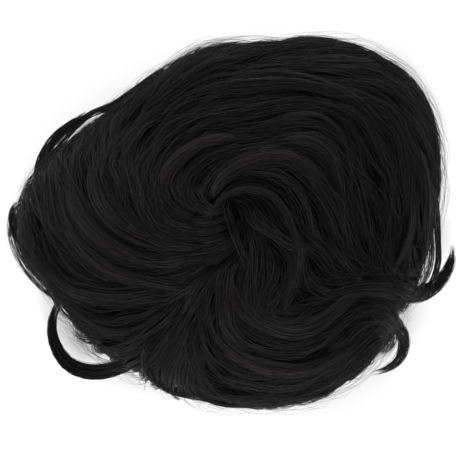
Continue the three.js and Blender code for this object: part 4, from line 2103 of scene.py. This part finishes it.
# Lines of hair in the photograph, from root to tip, in pixels
EYE_LINES = (
    (
        (214, 210), (227, 196), (247, 191), (270, 197), (283, 214), (291, 233), (297, 251), (296, 268),
        (284, 290), (264, 300),
    ),
    ((226, 199), (228, 214), (232, 230), (240, 249), (248, 267), (251, 284), (256, 302)),
    ((248, 204), (254, 220), (268, 235), (286, 243), (305, 248), (322, 244)),
    ((266, 250), (264, 270), (262, 292)),
    ((215, 206), (221, 196), (233, 184), (258, 176), (284, 186), (304, 208), (312, 232)),
    ((296, 222), (303, 245), (309, 268), (322, 288), (345, 291)),
)
LEFT_LINES = (
    ((222, 214), (209, 216), (196, 211), (186, 199), (184, 181), (196, 161), (220, 147), (247, 143)),
    (
        (228, 217), (208, 226), (188, 226), (169, 215), (161, 193), (167, 167), (180, 150), (207, 137),
        (233, 132), (255, 133),
    ),
    (
        (229, 221), (209, 231), (186, 233), (158, 224), (145, 202), (144, 175), (155, 148), (178, 126),
        (205, 115),
    ),
    (
        (230, 226), (210, 236), (188, 239), (165, 233), (145, 215), (130, 188), (125, 160), (135, 130),
        (160, 110),
    ),
    ((233, 236), (212, 246), (185, 249), (150, 245), (110, 220), (92, 180), (88, 150), (97, 126), (120, 106)),
    ((238, 248), (214, 258), (180, 264), (140, 266), (100, 243), (75, 200), (66, 160), (75, 132), (95, 115)),
    ((241, 255), (216, 269), (185, 280), (150, 287), (100, 270), (65, 225), (55, 180), (58, 150)),
    ((244, 262), (216, 279), (185, 294), (150, 300), (117, 300), (73, 287), (47, 260), (35, 225)),
    ((206, 287), (183, 308), (145, 327), (113, 336), (75, 315), (48, 282), (28, 243)),
)
TOP_LINES = (
    (
        (204, 216), (206, 200), (217, 180), (240, 160), (267, 155), (293, 160), (313, 177), (330, 200),
        (337, 225), (344, 250), (358, 270), (378, 283),
    ),
    (
        (263, 143), (283, 135), (307, 135), (325, 141), (343, 167), (349, 190), (352, 215), (358, 243),
        (372, 268),
    ),
    (
        (265, 122), (293, 115), (317, 115), (337, 127), (355, 155), (367, 190), (371, 225), (376, 250),
        (386, 274),
    ),
    (
        (150, 115), (170, 103), (213, 82), (250, 79), (290, 80), (350, 97), (387, 123), (399, 150),
        (403, 190), (402, 228), (399, 255), (398, 280),
    ),
    (
        (34, 190), (42, 160), (62, 128), (100, 107), (150, 75), (200, 50), (250, 44), (350, 45), (398, 70),
        (430, 110), (438, 150), (438, 200), (436, 245), (426, 275),
    ),
)
LOW_LINES = (
    ((220, 268), (224, 284), (236, 310), (255, 326), (286, 331), (309, 322), (330, 306), (357, 279)),
    (
        (216, 272), (223, 298), (223, 318), (231, 336), (252, 351), (289, 360), (318, 350), (337, 333),
        (352, 315),
    ),
    ((211, 275), (207, 305), (210, 335), (233, 360), (267, 373), (310, 373), (350, 350), (377, 322)),
    ((208, 281), (192, 312), (170, 338), (148, 356), (125, 367), (100, 373)),
    ((208, 280), (200, 307), (196, 340), (211, 371), (248, 386), (292, 386), (334, 370), (362, 345)),
    ((207, 281), (193, 312), (177, 341), (166, 362), (163, 380)),
    ((207, 280), (194, 310), (182, 345), (190, 383), (230, 399), (275, 400), (318, 390), (352, 366)),
    ((338, 296), (358, 291), (380, 291), (398, 292), (412, 297), (428, 290)),
    ((340, 318), (356, 309), (372, 307), (386, 314), (396, 328), (400, 345)),
)
GUIDES = (*EYE_LINES, *LEFT_LINES, *TOP_LINES, *LOW_LINES)
GUIDE_LIFT = 3 * MM
POINTS_A_KNOT = 6

# How strongly base locks, locks on top and guides lead the flow, and how base locks leave it to the eye
BASE_PULL, TOP_PULL, GUIDE_PULL = 0.3, 1.0, 3.0
EYE_BAND = (0.1, 0.35)

WHORL_SPOTS = (
    ThinSpot(215, 252, 10, 12),
    ThinSpot(212, 275, 10, 10),
)
THIN_SPOTS = (
    ThinSpot(210, 206, 8, 14),
    ThinSpot(212, 228, 10, 12),
    ThinSpot(197, 214, 7, 8),
    ThinSpot(240, 212, 8, 10),
    ThinSpot(308, 272, 9, 10),
    ThinSpot(297, 297, 6, 6),
    ThinSpot(205, 330, 7, 6),
    ThinSpot(170, 348, 6, 6),
    ThinSpot(72, 254, 7, 7),
)


def lie_of_hair(shop: Workshop, bases: list[BaseLock], tops: list[TopLock]) -> Flow:
    """Flow led by the base locks, and more strongly by the locks on top and the guides.

    Args:
        shop: What it is made with.
        bases: Base locks.
        tops: Locks on top.

    Returns:
        The flow.
    """
    leads = []
    for lock in bases:
        places, headings = lock.guide(shop.whorl)
        away = np.linalg.norm(places - np.array(shop.dome.eye.place), axis=-1)
        leads.append((places, headings, BASE_PULL * smoothstep(away, *EYE_BAND)))
    leads += [(*lock.guide(shop.dome), TOP_PULL) for lock in tops]
    for pixels in GUIDES:
        line = through(np.array(pixels, float), POINTS_A_KNOT * len(pixels))
        places = shop.photo.places(shop.dome, line, GUIDE_LIFT)
        leads.append((places[:-1], unit(np.diff(places, axis=0)), GUIDE_PULL))
    places = np.concatenate([lead[0] for lead in leads])
    headings = np.concatenate([lead[1] for lead in leads])
    pull = np.concatenate([np.broadcast_to(lead[2], len(lead[0])) for lead in leads])
    return Flow(places, headings, pull)


def main() -> None:
    """Builds the wig, its floor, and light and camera."""
    logging.basicConfig(level=logging.INFO, format="%(name)s %(message)s")
    low, high = (np.array(corner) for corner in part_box("cap"))
    axis = tuple(float(x) for x in (low + high)[:2] / 2)
    photo = PhotoFrame()
    studio = Studio(photo, axis)
    studio.build_camera()
    studio.build_floor()
    studio.build_light()
    shop = Workshop(Dome(axis), CapForm(axis), Whorl(), photo, StrandKit(), Finishes.make())
    bases, tops = base_locks(shop), top_locks()
    flow = lie_of_hair(shop, bases, tops)
    Cap().build(shop)
    tuft = ClumpStyle(
        clumps=0, strands=11, rings=7, length=(25 * MM, 60 * MM), half_width=(1.5 * MM, 4 * MM),
        wave=(0.1 * MM, 0.6 * MM), frizz=0.6 * MM,
    )
    for lock in bases:
        lock.build(shop, flow)
    for lock in tops:
        lock.build(shop)
    for curl in free_curls():
        curl.build(shop)
    WhorlTuft(FillHair(tuft, WHORL_SPOTS)).build(shop, flow)
    FillHair(tuft, THIN_SPOTS, [*whorl_wisps(), *low_fans()]).build(shop, flow)
    # Painted highlight: the crown wisps take the lit copy of the hair material, and the rim wisps do not
    build_wisps(shop, "crown_wisps", crown_wisps(), True)
    build_wisps(shop, "rim_wisps", rim_wisps(), False)
    Flyaways().build(shop, flow)
    log.info("all pieces: %d triangles", shop.triangles)


if __name__ == "__main__":
    main()
